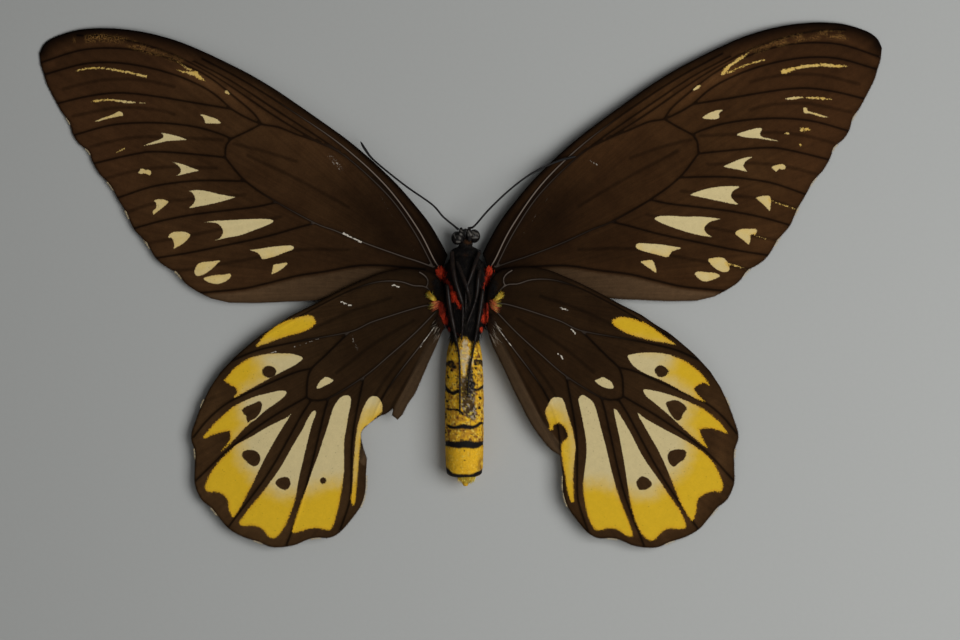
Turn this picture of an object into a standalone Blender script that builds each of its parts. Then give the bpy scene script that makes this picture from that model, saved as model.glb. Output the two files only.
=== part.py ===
"""Set museum specimen of a birdwing butterfly, lying on its back with the underside up.

Metres, +Z up. +Y points to the head and +X to the right of the underside view. The origin is on
the floor under the middle of the thorax. Tables are in millimetres, measured from the origin.
"""

import math

import bmesh
import bpy
import numpy as np
from mathutils import Vector
from mathutils.geometry import delaunay_2d_cdt

MM = 0.001
GAP = 0.3

MEMBRANE = 0.5
VEIN = 0.9
VEIN_HALF_WIDTH = 0.55
OUTLINE_STEP = 3.0
VEIN_STEP = 6.0
MEMBRANE_STEP = 8.0

WING_ROOT_Z = 5.0
WING_TIP_Z = 0.42
WING_ROOT_X = 8.0
WING_TIP_X = 108.0
HIND_LIFT_FRONT = 1.35
HIND_LIFT_BACK = 0.5

THORAX = (
    ((0.4, 9.9, 5.2), (4.0, 1.7, 3.3)),
    ((0.3, 1.0, 5.25), (5.3, 9.8, 5.4)),
    ((0.3, -7.0, 4.95), (5.0, 6.7, 5.0)),
)
PLEURA = (
    ((0.35, 2.5, 3.4), (7.3, 7.2, 1.05)),
    ((0.4, -4.9, 4.2), (7.3, 7.3, 1.35)),
)
HEAD = (
    ((0.45, 13.5, 5.5), (2.7, 2.55, 2.7)),
    ((0.35, 11.8, 5.3), (2.3, 2.0, 2.5)),
)
EYES = {
    "eye_left": ((-1.76, 13.6, 5.8), (1.6, 1.8, 1.9)),
    "eye_right": ((2.66, 14.1, 5.8), (1.6, 1.8, 1.9)),
}

ABDOMEN_X = 0.1
ABDOMEN_Z = 4.85
ABDOMEN_PROFILE = (
    (-11.6, 2.6), (-12.6, 3.7), (-14.6, 4.3), (-17.1, 4.75), (-19.9, 4.95), (-20.4, 4.8),
    (-20.9, 4.98), (-23.3, 5.15), (-25.4, 5.1), (-25.8, 5.0), (-26.3, 5.12), (-28.6, 5.24),
    (-30.9, 5.18), (-31.3, 5.06), (-31.8, 5.18), (-33.4, 5.24), (-35.1, 5.16), (-35.5, 5.04),
    (-36.0, 5.16), (-37.8, 5.2), (-39.6, 5.14), (-40.2, 5.0), (-40.8, 5.12), (-43.6, 5.08),
    (-46.6, 4.96), (-47.3, 4.8), (-47.9, 4.75), (-48.6, 4.2), (-49.0, 3.2), (-49.2, 1.6),
)
TAIL_TIP = ((0.2, -47.6, 4.9, 1.3), (0.3, -49.6, 5.0, 1.1), (0.4, -50.8, 5.2, 0.85), (0.5, -51.5, 5.3, 0.5))

FORE_OUTLINE = (
    ((4.9, 9.6), (6.6, 13.0), (9.6, 18.2), (13.4, 23.2), (17.6, 28.2), (21.5, 32.2), (25.5, 36.0),
     (30.5, 40.3), (35.8, 44.3), (42.4, 49.1), (48.9, 53.7), (55.5, 57.8), (62.1, 61.3),
     (67.4, 63.9), (72.6, 66.2), (77.9, 68.0), (83.1, 69.3), (88.4, 70.1), (93.7, 70.4),
     (98.9, 70.1), (102.9, 69.2), (106.8, 67.7), (108.9, 66.0), (110.0, 63.7)),
    ((109.7, 61.0), (108.8, 58.1), (108.0, 55.5), (106.6, 52.6), (105.4, 50.3), (103.9, 47.6),
     (102.3, 45.4), (101.3, 42.0), (99.7, 39.6), (97.3, 37.6), (96.4, 35.0), (94.5, 31.6),
     (91.7, 28.5), (90.0, 25.3), (87.5, 21.0), (85.6, 16.8), (82.5, 13.2), (80.0, 9.1),
     (77.4, 6.8), (74.5, 5.1), (72.4, 2.4), (69.5, 0.3), (65.5, -1.8)),
    ((61.3, -2.8), (54.2, -2.9), (46.3, -2.6), (38.9, -2.2), (30.5, -0.8), (22.6, 1.2),
     (15.3, 3.2), (9.5, 4.5)),
    ((6.3, 4.6), (6.0, 6.5)),
)
FORE_VEINS = {
    "subcosta": ((6.6, 5.6), (8.2, 8.0), (12.4, 16.3), (20.3, 27.6), (30.5, 37.6), (42.4, 46.6),
                 (55.5, 55.3), (67.9, 62.1)),
    "radius": ((8.4, 6.0), (13.2, 15.3), (20.0, 25.3), (30.5, 35.5), (37.9, 39.7), (43.7, 42.1),
               (48.4, 44.1), (52.6, 44.9), (56.8, 46.8), (60.2, 48.8)),
    "radial_1": ((30.5, 35.5), (37.6, 40.8), (50.3, 49.6), (60.0, 56.0), (70.0, 61.4)),
    "radial_2": ((37.9, 39.7), (48.9, 46.8), (62.1, 55.9), (73.9, 62.5), (81.8, 65.6),
                 (91.0, 67.9), (100.2, 68.5)),
    "radial_3": ((52.6, 44.9), (54.7, 47.9), (59.5, 52.1), (65.2, 56.6), (71.3, 60.0),
                 (79.2, 63.1), (88.4, 64.9), (98.9, 64.6), (109.6, 61.3)),
    "radial_4": ((60.2, 48.8), (64.2, 52.4), (68.7, 55.1), (75.2, 57.9), (83.1, 60.1),
                 (91.0, 61.2), (98.9, 60.8), (108.7, 58.1)),
    "radial_5": ((60.2, 48.8), (70.0, 50.4), (77.9, 51.8), (85.8, 52.9), (91.6, 53.0),
                 (98.4, 52.0), (105.4, 50.3)),
    "cross_upper": ((52.6, 44.9), (55.8, 43.0), (60.0, 40.8)),
    "medial_1": ((60.0, 40.8), (62.9, 42.1), (68.7, 43.8), (76.6, 44.9), (84.5, 45.1),
                 (92.3, 44.3), (101.3, 41.8)),
    "cross_lower": ((60.0, 40.8), (61.3, 38.9), (61.6, 35.8)),
    "medial_2": ((61.6, 35.8), (66.0, 36.3), (79.2, 37.4), (85.8, 36.7), (96.4, 34.2)),
    "medial_3": ((56.6, 29.5), (62.1, 29.7), (68.7, 29.7), (75.2, 29.1), (81.8, 27.9),
                 (90.0, 25.1)),
    "cubital_1": ((48.9, 23.7), (54.2, 22.6), (62.1, 21.7), (70.0, 20.7), (77.9, 19.2),
                  (85.6, 17.1)),
    "cubital_2": ((38.7, 17.9), (43.7, 16.7), (51.6, 14.6), (62.1, 12.4), (71.3, 10.5),
                  (80.0, 9.1)),
    "cubitus": ((8.4, 6.0), (12.6, 7.5), (16.6, 8.8), (25.3, 12.1), (33.2, 15.7), (38.7, 17.9),
                (48.9, 23.7), (56.6, 29.5), (61.6, 35.8)),
    "anal": ((10.5, 5.4), (14.7, 5.7), (21.3, 6.3), (27.9, 6.3), (35.8, 5.1), (43.7, 4.1),
             (51.6, 2.2), (58.1, 0.8), (69.5, -0.3)),
}
HIND_OUTLINE = (
    ((6.0, -2.8), (6.3, 0.0), (7.3, 3.0), (9.8, 5.2), (14.7, 6.0), (18.7, 5.9), (22.6, 5.1),
     (25.8, 3.8), (30.0, 2.0), (35.8, -0.9), (41.0, -3.7), (46.3, -6.4), (50.3, -9.1),
     (53.7, -11.2), (56.8, -13.7), (60.8, -17.2), (64.7, -21.4)),
    ((67.1, -25.1), (69.2, -29.5), (70.8, -33.7), (72.1, -38.4), (71.0, -42.4), (71.0, -47.1),
     (70.9, -51.0), (69.2, -54.9), (66.6, -57.1), (64.6, -59.5), (61.8, -62.7), (58.4, -64.7),
     (53.9, -66.2), (50.3, -67.6), (45.0, -67.2), (41.0, -65.6), (38.4, -65.1), (35.3, -65.1),
     (32.6, -63.7), (29.7, -60.4), (27.1, -56.6), (26.0, -52.6), (25.9, -48.7)),
)
HIND_INNER = (
    ((25.1, -43.3), (22.6, -41.6), (20.0, -38.5), (17.4, -34.7), (13.9, -28.0), (12.1, -24.2),
     (9.5, -18.7), (7.1, -13.7), (5.9, -9.5)),
    ((6.2, -6.3),),
)
HIND_INNER_TORN = (
    ((25.7, -44.4), (27.1, -40.0), (27.3, -37.2), (25.3, -34.9), (22.5, -32.9), (21.1, -32.4),
     (19.0, -30.9)),
    ((19.3, -32.7), (17.8, -33.9)),
    ((16.6, -32.6), (15.2, -29.7), (13.4, -27.0), (11.6, -22.8), (9.5, -17.8), (7.6, -13.5),
     (6.0, -9.5)),
    ((6.2, -6.3),),
)
HIND_VEINS = {
    "humeral": ((10.8, 1.1), (10.3, 2.6), (11.1, 4.1), (12.6, 5.1)),
    "subcosta": ((7.4, -2.4), (10.8, 1.1), (14.2, 1.6), (17.4, 2.6), (21.3, 2.8), (25.3, 2.2),
                 (30.5, 0.4), (36.3, -2.4), (42.4, -5.7), (48.4, -9.3), (53.9, -12.2)),
    "radius": ((7.4, -3.4), (10.8, -3.7), (14.7, -4.7), (20.0, -6.4), (25.3, -8.2),
               (30.8, -10.7), (42.4, -12.8), (48.9, -14.1), (55.5, -15.7), (61.6, -18.3)),
    "cell_end": ((30.8, -10.7), (37.1, -17.0), (40.5, -20.3), (41.6, -23.2), (41.8, -27.9)),
    "medial_1": ((40.5, -20.3), (45.0, -21.4), (51.6, -24.2), (58.1, -27.1), (63.4, -29.6),
                 (67.9, -33.2), (71.8, -37.9)),
    "medial_2": ((41.8, -27.9), (51.6, -33.7), (62.9, -41.8), (70.8, -50.0)),
    "medial_3": ((40.5, -28.7), (42.9, -32.4), (46.3, -38.7), (50.3, -46.0), (54.7, -53.1),
                 (61.6, -62.9)),
    "cubital_1": ((36.0, -28.2), (37.1, -32.1), (38.4, -37.9), (42.1, -53.4), (47.4, -67.4)),
    "cubital_2": ((26.8, -22.6), (28.9, -33.7), (29.7, -40.8), (29.7, -48.7), (30.0, -55.3),
                  (32.6, -63.4)),
    "cubitus": ((7.4, -4.5), (13.4, -10.8), (20.0, -16.8), (26.8, -22.6), (36.0, -28.2),
                (40.5, -28.7), (41.8, -27.9)),
    "anal": ((7.0, -6.8), (9.5, -10.8), (13.4, -16.0), (17.4, -21.3), (21.3, -27.1),
             (24.2, -33.7), (25.5, -42.6)),
}
FORE_LEFT = ((-1.0209, -0.0028, 0.734), (-0.0030, 0.9877, -0.354))
HIND_LEFT = ((-0.9983, 0.0153, 0.895), (-0.0009, 0.9911, -0.432))
AS_DRAWN = ((1.0, 0.0, 0.0), (0.0, 1.0, 0.0))

ANTENNAE = {
    "antenna_left": ((-1.45, 15.8, 5.9, 0.34), (-2.6, 16.8, 6.3, 0.28), (-5.5, 19.2, 6.8, 0.27),
                     (-8.4, 22.4, 6.9, 0.26), (-15.5, 27.4, 6.8, 0.26), (-23.3, 33.7, 6.4, 0.27),
                     (-25.8, 36.7, 6.2, 0.36), (-27.1, 38.9, 6.1, 0.26)),
    "antenna_right": ((1.6, 16.2, 5.8, 0.34), (2.9, 16.9, 6.3, 0.28), (6.8, 21.3, 6.9, 0.27),
                      (12.1, 26.3, 6.7, 0.26), (17.4, 30.3, 6.3, 0.26), (22.6, 32.9, 5.9, 0.27),
                      (26.0, 34.2, 5.6, 0.36), (29.4, 35.0, 5.5, 0.28)),
}
PALPS = {
    "palp_left": ((-0.75, 12.6, 8.55, 0.45), (-0.9, 14.0, 8.9, 0.62), (-0.8, 15.5, 8.4, 0.5),
                  (-0.65, 16.3, 7.6, 0.3)),
    "palp_right": ((1.35, 12.6, 8.55, 0.45), (1.5, 14.0, 8.9, 0.62), (1.4, 15.6, 8.4, 0.5),
                   (1.25, 16.4, 7.6, 0.3)),
}
COIL_CENTRE = (0.31, 15.0, 9.4)
COIL_INNER = 0.32
COIL_PITCH = 0.62
COIL_TURNS = 1.3
COIL_RADIUS = 0.25

LEGS = {
    "foreleg_left": ((-3.2, 10.2, 0.0, 0.62), (-2.9, 6.2, 0.0, 0.7), (-2.1, 1.8, 0.0, 0.62),
                     (-0.75, -2.4, 0.0, 0.5), (-0.3, -4.4, 0.0, 0.34), (-0.35, -9.2, 0.0, 0.3),
                     (-0.6, -13.0, 0.0, 0.27)),
    "midleg_left": ((-1.9, 7.4, 0.0, 0.5), (-0.3, 3.4, 0.75, 0.55), (0.9, 0.2, 1.3, 0.5),
                    (1.5, -2.2, 0.4, 0.36), (1.6, -4.0, 0.1, 0.28)),
    "hindleg_left": ((-4.4, 1.4, 0.0, 0.5), (-3.8, -4.0, 0.0, 0.6), (-2.7, -9.6, 0.0, 0.5),
                     (-1.9, -13.6, 0.0, 0.34), (-1.2, -18.0, 0.0, 0.3), (-1.05, -25.0, 0.0, 0.28),
                     (-1.05, -32.2, 0.0, 0.26)),
    "foreleg_right": ((4.1, 10.0, 0.0, 0.55), (3.0, 7.2, 0.0, 0.55), (1.84, 3.7, 0.0, 0.45),
                      (0.62, 0.2, 0.0, 0.34), (0.5, -2.8, 0.0, 0.28), (0.45, -5.4, 0.0, 0.26)),
    "midleg_right": ((4.2, 5.4, 0.0, 0.45), (3.7, 2.8, 0.0, 0.55), (3.5, 0.0, 0.0, 0.5),
                     (3.2, -2.1, 0.0, 0.38), (2.5, -4.4, 0.0, 0.32), (1.6, -6.8, 0.0, 0.28),
                     (0.95, -8.6, 0.0, 0.26)),
    "hindleg_right": ((5.0, 0.3, 0.0, 0.45), (4.6, -2.6, 0.0, 0.58), (4.1, -6.0, 0.0, 0.56),
                      (3.5, -10.0, 0.0, 0.42), (2.5, -15.4, 0.0, 0.32), (1.5, -21.4, 0.0, 0.28),
                      (1.0, -27.6, 0.0, 0.26)),
}


def collection(name, hidden=False):
    """A new collection in the scene."""
    made = bpy.data.collections.new(name)
    bpy.context.scene.collection.children.link(made)
    made.hide_render = hidden
    return made


def material(name, colour, roughness, coat=0.0):
    """A Principled material."""
    made = bpy.data.materials.new(name)
    made.use_nodes = True
    shader = made.node_tree.nodes["Principled BSDF"]
    shader.inputs["Base Color"].default_value = (*colour, 1.0)
    shader.inputs["Roughness"].default_value = roughness
    shader.inputs["Coat Weight"].default_value = coat
    return made


def add(name, mesh, home, finish=None):
    """A new object of the mesh in the collection."""
    made = bpy.data.objects.new(name, mesh)
    home.objects.link(made)
    if finish:
        mesh.materials.clear()
        mesh.materials.append(finish)
    if home.hide_render:
        made.hide_render = True
        made.display_type = "WIRE"
    return made


def settle(obj):
    """Applies the modifiers of the object."""
    graph = bpy.context.evaluated_depsgraph_get()
    mesh = bpy.data.meshes.new_from_object(obj.evaluated_get(graph))
    obj.modifiers.clear()
    obj.data = mesh


def ellipsoid(name, centre, semi_axes, home, segments=20, rings=12):
    """A UV sphere stretched to the semi-axes, with its poles along Y."""
    mesh = bpy.data.meshes.new(name)
    points = [(0.0, 1.0, 0.0)]
    for ring in range(1, rings):
        polar = math.pi * ring / rings
        for step in range(segments):
            turn = 2.0 * math.pi * step / segments
            points.append((math.sin(polar) * math.sin(turn), math.cos(polar),
                           math.sin(polar) * math.cos(turn)))
    points.append((0.0, -1.0, 0.0))
    faces = []
    last = len(points) - 1
    for step in range(segments):
        after = (step + 1) % segments
        faces.append((0, 1 + step, 1 + after))
        tail = 1 + (rings - 2) * segments
        faces.append((last, tail + after, tail + step))
        for ring in range(rings - 2):
            row = 1 + ring * segments
            faces.append((row + step, row + segments + step, row + segments + after, row + after))
    placed = np.array(points) * semi_axes + centre
    mesh.from_pydata((placed * MM).tolist(), [], faces)
    return add(name, mesh, home)


def keep_largest(obj):
    """Removes every closed surface of the object but the longest one."""
    shape = bmesh.new()
    shape.from_mesh(obj.data)
    left = set(shape.verts)
    islands = []
    while left:
        front = [left.pop()]
        island = set(front)
        while front:
            near = {edge.other_vert(vertex) for vertex in front for edge in vertex.link_edges}
            front = list(near - island)
            island |= near
        left -= island
        islands.append(island)
    islands.sort(key=lambda island: max(v.co.y for v in island) - min(v.co.y for v in island))
    bmesh.ops.delete(shape, geom=[v for island in islands[:-1] for v in island], context="VERTS")
    shape.to_mesh(obj.data)
    shape.free()


def combine(target, others, operation):
    """One Boolean of the target with all the others, applied; the others are removed."""
    operands = collection("operands", hidden=True)
    for other in others:
        for home in other.users_collection:
            home.objects.unlink(other)
        operands.objects.link(other)
    step = target.modifiers.new(operation.lower(), "BOOLEAN")
    step.operation = operation
    step.operand_type = "COLLECTION"
    step.collection = operands
    step.solver = "EXACT"
    settle(target)
    for other in others:
        bpy.data.objects.remove(other)
    bpy.data.collections.remove(operands)
    keep_largest(target)
    return target


def floor_slab(home):
    """A block whose top face is the floor."""
    mesh = bpy.data.meshes.new("floor_slab")
    corners = [(x, y, z) for x in (-20, 20) for y in (-70, 30) for z in (-10, 0)]
    faces = [(0, 1, 3, 2), (4, 6, 7, 5), (0, 4, 5, 1), (2, 3, 7, 6), (0, 2, 6, 4), (1, 5, 7, 3)]
    mesh.from_pydata((np.array(corners) * MM).tolist(), [], faces)
    return add("floor_slab", mesh, home)


def tube(name, stations, home, finish, sides=8, steps=4):
    """A round rod along a smooth line through stations of x, y, z and radius."""
    line = bpy.data.curves.new(name, "CURVE")
    line.dimensions = "3D"
    line.bevel_depth = MM
    line.bevel_resolution = (sides - 4) // 2
    line.resolution_u = 1
    line.use_fill_caps = True
    spline = line.splines.new("POLY")
    rows = smooth(stations, steps=steps)
    spline.points.add(len(rows) - 1)
    for point, row in zip(spline.points, rows):
        point.co = (*(row[:3] * MM), 1.0)
        point.radius = row[3]
    guide = bpy.data.objects.new(name + "_guide", line)
    home.objects.link(guide)
    graph = bpy.context.evaluated_depsgraph_get()
    mesh = bpy.data.meshes.new_from_object(guide.evaluated_get(graph))
    bpy.data.objects.remove(guide)
    made = add(name, mesh, home, finish)
    weld = made.modifiers.new("weld", "WELD")
    weld.merge_threshold = 1e-6
    settle(made)
    return made


def smooth(points, steps=6, spacing=None):
    """A Catmull-Rom line through the points, with this many steps a span or this spacing."""
    known = np.array(points, float)
    if len(known) < 3:
        return known
    ends = np.vstack([2 * known[0] - known[1], known, 2 * known[-1] - known[-2]])
    rows = []
    for a, b, c, d in zip(ends, ends[1:], ends[2:], ends[3:]):
        for t in np.arange(steps) / steps:
            rows.append(0.5 * (2 * b + (c - a) * t + (2 * a - 5 * b + 4 * c - d) * t * t
                               + (3 * b - a - 3 * c + d) * t ** 3))
    rows.append(known[-1])
    rows = np.array(rows)
    if spacing is None:
        return rows
    lengths = np.concatenate([[0.0], np.cumsum(np.linalg.norm(np.diff(rows, axis=0), axis=1))])
    count = max(2, round(lengths[-1] / spacing) + 1)
    wanted = np.linspace(0.0, lengths[-1], count)
    return np.stack([np.interp(wanted, lengths, rows[:, k]) for k in range(rows.shape[1])], axis=1)


def line_distance(points, line):
    """Distance in the plane from each point to a polyline."""
    best = np.full(len(points), np.inf)
    for start, end in zip(line, line[1:]):
        along = end - start
        share = np.clip((points - start) @ along / max(along @ along, 1e-12), 0.0, 1.0)
        best = np.minimum(best, np.linalg.norm(points - start - share[:, None] * along, axis=1))
    return best


def inside(points, polygon):
    """True for each point inside the polygon."""
    found = np.zeros(len(points), bool)
    for (x1, y1), (x2, y2) in zip(polygon, np.roll(polygon, -1, axis=0)):
        crosses = (y1 > points[:, 1]) != (y2 > points[:, 1])
        where = (x2 - x1) * (points[:, 1] - y1) / (y2 - y1 + 1e-12) + x1
        found ^= crosses & (points[:, 0] < where)
    return found


def wing_height(x, lift):
    """Height of the middle of a wing, drooping from the root to the tip."""
    share = np.clip((np.abs(x) - WING_ROOT_X) / (WING_TIP_X - WING_ROOT_X), 0.0, 1.0)
    return WING_ROOT_Z + (WING_TIP_Z - WING_ROOT_Z) * share ** 1.15 + lift


def hind_lift(y):
    """How far the hindwing lies above the sheet of the forewings."""
    share = np.clip((y + 34.0) / 24.0, 0.0, 1.0)
    return HIND_LIFT_BACK + (HIND_LIFT_FRONT - HIND_LIFT_BACK) * share * share * (3.0 - 2.0 * share)


def wing_lines(outline, veins, placing):
    """The outline and veins of a wing, placed and resampled."""
    matrix = np.array(placing)
    edge = []
    for part in outline:
        row = smooth(part, spacing=OUTLINE_STEP) if len(part) > 2 else np.array(part, float)
        edge.append(row)
    polygon = np.vstack(edge) @ matrix[:, :2].T + matrix[:, 2]
    placed = {}
    for name, points in veins.items():
        placed[name] = smooth(points, spacing=VEIN_STEP) @ matrix[:, :2].T + matrix[:, 2]
    return polygon, placed


def vein_rails(placed, polygon):
    """Runs of points along each vein's ridge and along both its feet."""
    border = np.vstack([polygon, polygon[:1]])
    runs = []
    for name, line in placed.items():
        others = [other for key, other in placed.items() if key != name]
        ahead = np.gradient(line, axis=0)
        across = np.stack([-ahead[:, 1], ahead[:, 0]], axis=1)
        across /= np.linalg.norm(across, axis=1, keepdims=True)
        for side in (0.0, VEIN_HALF_WIDTH, -VEIN_HALF_WIDTH):
            row = line + side * across
            keep = inside(row, polygon) & (line_distance(row, border) > 0.35)
            if side:
                near = np.min([line_distance(row, other) for other in others], axis=0)
                keep &= (near > 1.3 * VEIN_HALF_WIDTH) & (line_distance(row, border) > 0.9)
            runs.append((row, keep))
    return runs


def wing_mesh(name, outline, veins, placing, hind):
    """The middle sheet of a wing, with a vertex weight of 1 on the veins."""
    polygon, placed = wing_lines(outline, veins, placing)
    if np.sum(polygon[:, 0] * np.roll(polygon[:, 1], -1)
              - polygon[:, 1] * np.roll(polygon[:, 0], -1)) < 0:
        polygon = polygon[::-1]
    points = [tuple(row) for row in polygon]
    edges = []
    for row, keep in vein_rails(placed, polygon):
        for index, held in enumerate(keep):
            if held:
                points.append(tuple(row[index]))
            if held and index and keep[index - 1]:
                edges.append((len(points) - 2, len(points) - 1))
    known = np.array(points)
    low = polygon.min(axis=0)
    high = polygon.max(axis=0)
    grid = []
    for row, y in enumerate(np.arange(low[1], high[1], 0.87 * MEMBRANE_STEP)):
        for x in np.arange(low[0], high[0], MEMBRANE_STEP):
            grid.append((x + 0.5 * MEMBRANE_STEP * (row % 2), y))
    grid = np.array(grid)
    grid = grid[inside(grid, polygon)]
    spread = np.min(np.linalg.norm(grid[:, None] - known[None], axis=2), axis=1)
    points += [tuple(row) for row in grid[spread > 0.5 * MEMBRANE_STEP]]
    flat = delaunay_2d_cdt([Vector(p) for p in points], edges, [list(range(len(polygon)))], 1, 1e-5)
    sheet = np.array([tuple(v) for v in flat[0]])
    used = sorted({index for face in flat[2] for index in face})
    renumbered = {old: new for new, old in enumerate(used)}
    sheet = sheet[used]
    faces = [tuple(renumbered[index] for index in face) for face in flat[2]]
    lift = hind_lift(sheet[:, 1]) if hind else 0.0
    heights = wing_height(sheet[:, 0], lift)
    mesh = bpy.data.meshes.new(name)
    mesh.from_pydata((np.column_stack([sheet, heights]) * MM).tolist(), [], faces)
    near = np.min([line_distance(sheet, line) for line in placed.values()], axis=0)
    border = line_distance(sheet, np.vstack([polygon, polygon[:1]]))
    reach = np.clip((np.abs(sheet[:, 0]) - 60.0) / 50.0, 0.0, 1.0)
    weights = np.clip(1.0 - near / (0.8 * VEIN_HALF_WIDTH), 0.0, 1.0)
    weights *= np.clip(border / 1.2, 0.25, 1.0) * (1.0 - 0.55 * reach)
    return mesh, weights


def wing(name, outline, veins, placing, hind, home, finish):
    """A wing: a thin closed sheet with its veins raised on both faces."""
    mesh, weights = wing_mesh(name, outline, veins, placing, hind)
    made = add(name, mesh, home, finish)
    group = made.vertex_groups.new(name="vein")
    for index, weight in enumerate(weights):
        group.add([index], float(weight), "REPLACE")
    shell = made.modifiers.new("membrane", "SOLIDIFY")
    shell.thickness = VEIN * MM
    shell.offset = 0.0
    shell.vertex_group = "vein"
    shell.thickness_vertex_group = MEMBRANE / VEIN
    settle(made)
    return made


def body_top(x, y):
    """Height of the upper surface of head, thorax and abdomen at a point."""
    best = 0.0
    for centre, semi_axes in THORAX + HEAD:
        spread = ((x - centre[0]) / semi_axes[0]) ** 2 + ((y - centre[1]) / semi_axes[1]) ** 2
        if spread < 1.0:
            best = max(best, centre[2] + semi_axes[2] * math.sqrt(1.0 - spread))
    rows = np.array(ABDOMEN_PROFILE)[::-1]
    radius = np.interp(y, rows[:, 0], rows[:, 1], left=0.0, right=0.0)
    if abs(x - ABDOMEN_X) < radius:
        best = max(best, ABDOMEN_Z + math.sqrt(radius ** 2 - (x - ABDOMEN_X) ** 2))
    return best


def laid_on_body(stations):
    """Stations of x, y, clearance and radius turned into a line resting above the body."""
    rows = []
    for x, y, clearance, radius in smooth(stations, steps=3):
        around = [body_top(x + dx, y + dy) for dx in (-radius, 0.0, radius) for dy in (-radius, radius)]
        rows.append((x, y, max(around) + GAP + clearance + radius, radius))
    rows = np.array(rows)
    kernel = np.array([0.25, 0.5, 0.25])
    padded = np.concatenate([rows[:1, 2], rows[:, 2], rows[-1:, 2]])
    rows[:, 2] = np.maximum(rows[:, 2], np.convolve(padded, kernel, "valid"))
    return rows


def abdomen(home, finish):
    """The ringed abdomen as a turned shape."""
    rows = np.array(ABDOMEN_PROFILE)
    mesh = bpy.data.meshes.new("abdomen")
    profile = [(0.0, rows[0][0] + 0.3, 0.0)]
    profile += [(radius, y, 0.0) for y, radius in rows]
    profile += [(0.0, rows[-1][0] - 0.06, 0.0)]
    mesh.from_pydata((np.array(profile) * MM).tolist(), [(i, i + 1) for i in range(len(profile) - 1)], [])
    made = add("abdomen", mesh, home, finish)
    screw = made.modifiers.new("turned", "SCREW")
    screw.axis = "Y"
    screw.steps = 22
    screw.render_steps = 22
    screw.use_merge_vertices = True
    screw.merge_threshold = 1e-6
    screw.use_smooth_shade = False
    settle(made)
    for vertex in made.data.vertices:
        vertex.co.x += ABDOMEN_X * MM
        vertex.co.z += ABDOMEN_Z * MM
    return made


def grown(shapes, extra, home):
    """Copies of ellipsoids, larger by this much all round."""
    return [ellipsoid("grown", centre, tuple(s + extra for s in semi_axes), home)
            for centre, semi_axes in shapes]


def proboscis(home, finish):
    """The tongue, coiled like a watch spring between the palps."""
    rows = []
    count = 20
    for index in range(count):
        turn = 2.0 * math.pi * COIL_TURNS * index / (count - 1)
        radius = COIL_INNER + COIL_PITCH * turn / (2.0 * math.pi)
        bearing = math.radians(250.0) - (2.0 * math.pi * COIL_TURNS - turn)
        rows.append((COIL_CENTRE[0], COIL_CENTRE[1] + radius * math.cos(bearing),
                     COIL_CENTRE[2] + radius * math.sin(bearing), COIL_RADIUS))
    return tube("proboscis", rows, home, finish, sides=8, steps=1)


def main():
    """Builds every part of the specimen."""
    for obj in list(bpy.data.objects):
        bpy.data.objects.remove(obj)
    home = collection("birdwing_specimen")
    cutters = collection("cutters", hidden=True)
    wing_brown = material("wing_brown", (0.035, 0.018, 0.009), 0.75)
    body_black = material("body_black", (0.012, 0.010, 0.009), 0.7)
    eye_black = material("eye_black", (0.012, 0.010, 0.010), 0.25, 0.4)
    leg_black = material("leg_black", (0.012, 0.011, 0.011), 0.3, 0.3)
    abdomen_yellow = material("abdomen_yellow", (0.55, 0.32, 0.05), 0.6)

    thorax = ellipsoid("thorax", *THORAX[1], home, segments=28, rings=16)
    parts = [ellipsoid("part", *shape, home, segments=28, rings=16)
             for shape in (THORAX[0], THORAX[2], *PLEURA)]
    combine(thorax, parts, "UNION")
    combine(thorax, [floor_slab(cutters)], "DIFFERENCE")
    thorax.data.materials.append(body_black)

    head = ellipsoid("head", *HEAD[0], home)
    combine(head, [ellipsoid("neck", *HEAD[1], home)], "UNION")
    near_head = grown(THORAX[:2] + PLEURA[:1], GAP, cutters)
    combine(head, near_head + grown(EYES.values(), 0.5 * GAP, cutters), "DIFFERENCE")
    head.data.materials.append(body_black)
    for name, shape in EYES.items():
        eye = ellipsoid(name, *shape, home, segments=20, rings=12)
        eye.data.materials.append(eye_black)

    rear = abdomen(home, abdomen_yellow)
    combine(rear, grown(THORAX[1:] + PLEURA[1:], GAP, cutters) + [floor_slab(cutters)], "DIFFERENCE")
    combine(rear, [tube("tail", TAIL_TIP, cutters, None, sides=12)], "UNION")
    rear.data.materials.clear()
    rear.data.materials.append(abdomen_yellow)

    torn = HIND_OUTLINE + HIND_INNER_TORN
    whole = HIND_OUTLINE + HIND_INNER
    wing("forewing_right", FORE_OUTLINE, FORE_VEINS, AS_DRAWN, False, home, wing_brown)
    wing("forewing_left", FORE_OUTLINE, FORE_VEINS, FORE_LEFT, False, home, wing_brown)
    wing("hindwing_right", whole, HIND_VEINS, AS_DRAWN, True, home, wing_brown)
    wing("hindwing_left", torn, HIND_VEINS, HIND_LEFT, True, home, wing_brown)

    for name, stations in ANTENNAE.items():
        tube(name, stations, home, leg_black, sides=6, steps=3)
    for name, stations in PALPS.items():
        tube(name, stations, home, body_black, sides=8, steps=3)
    for name, stations in LEGS.items():
        tube(name, laid_on_body(stations), home, leg_black, sides=6, steps=1)
    proboscis(home, leg_black)


main()
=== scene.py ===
"""Looks of a set birdwing specimen that lies on its back, underside up.

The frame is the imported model's: metres, +Z up, +Y towards the head. Every table here is in
millimetres in that frame. Wings are fine sheets that carry their markings as signed distances,
the body is one skin with solid hair over it, and legs, feelers and eyes are jointed pieces.
"""
import logging
import math
from dataclasses import dataclass, replace
from enum import Enum
from typing import Any, Callable, Sequence

import bpy
import numpy as np
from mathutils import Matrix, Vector
from mathutils.bvhtree import BVHTree
from mathutils.geometry import delaunay_2d_cdt
from mathutils.kdtree import KDTree


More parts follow.
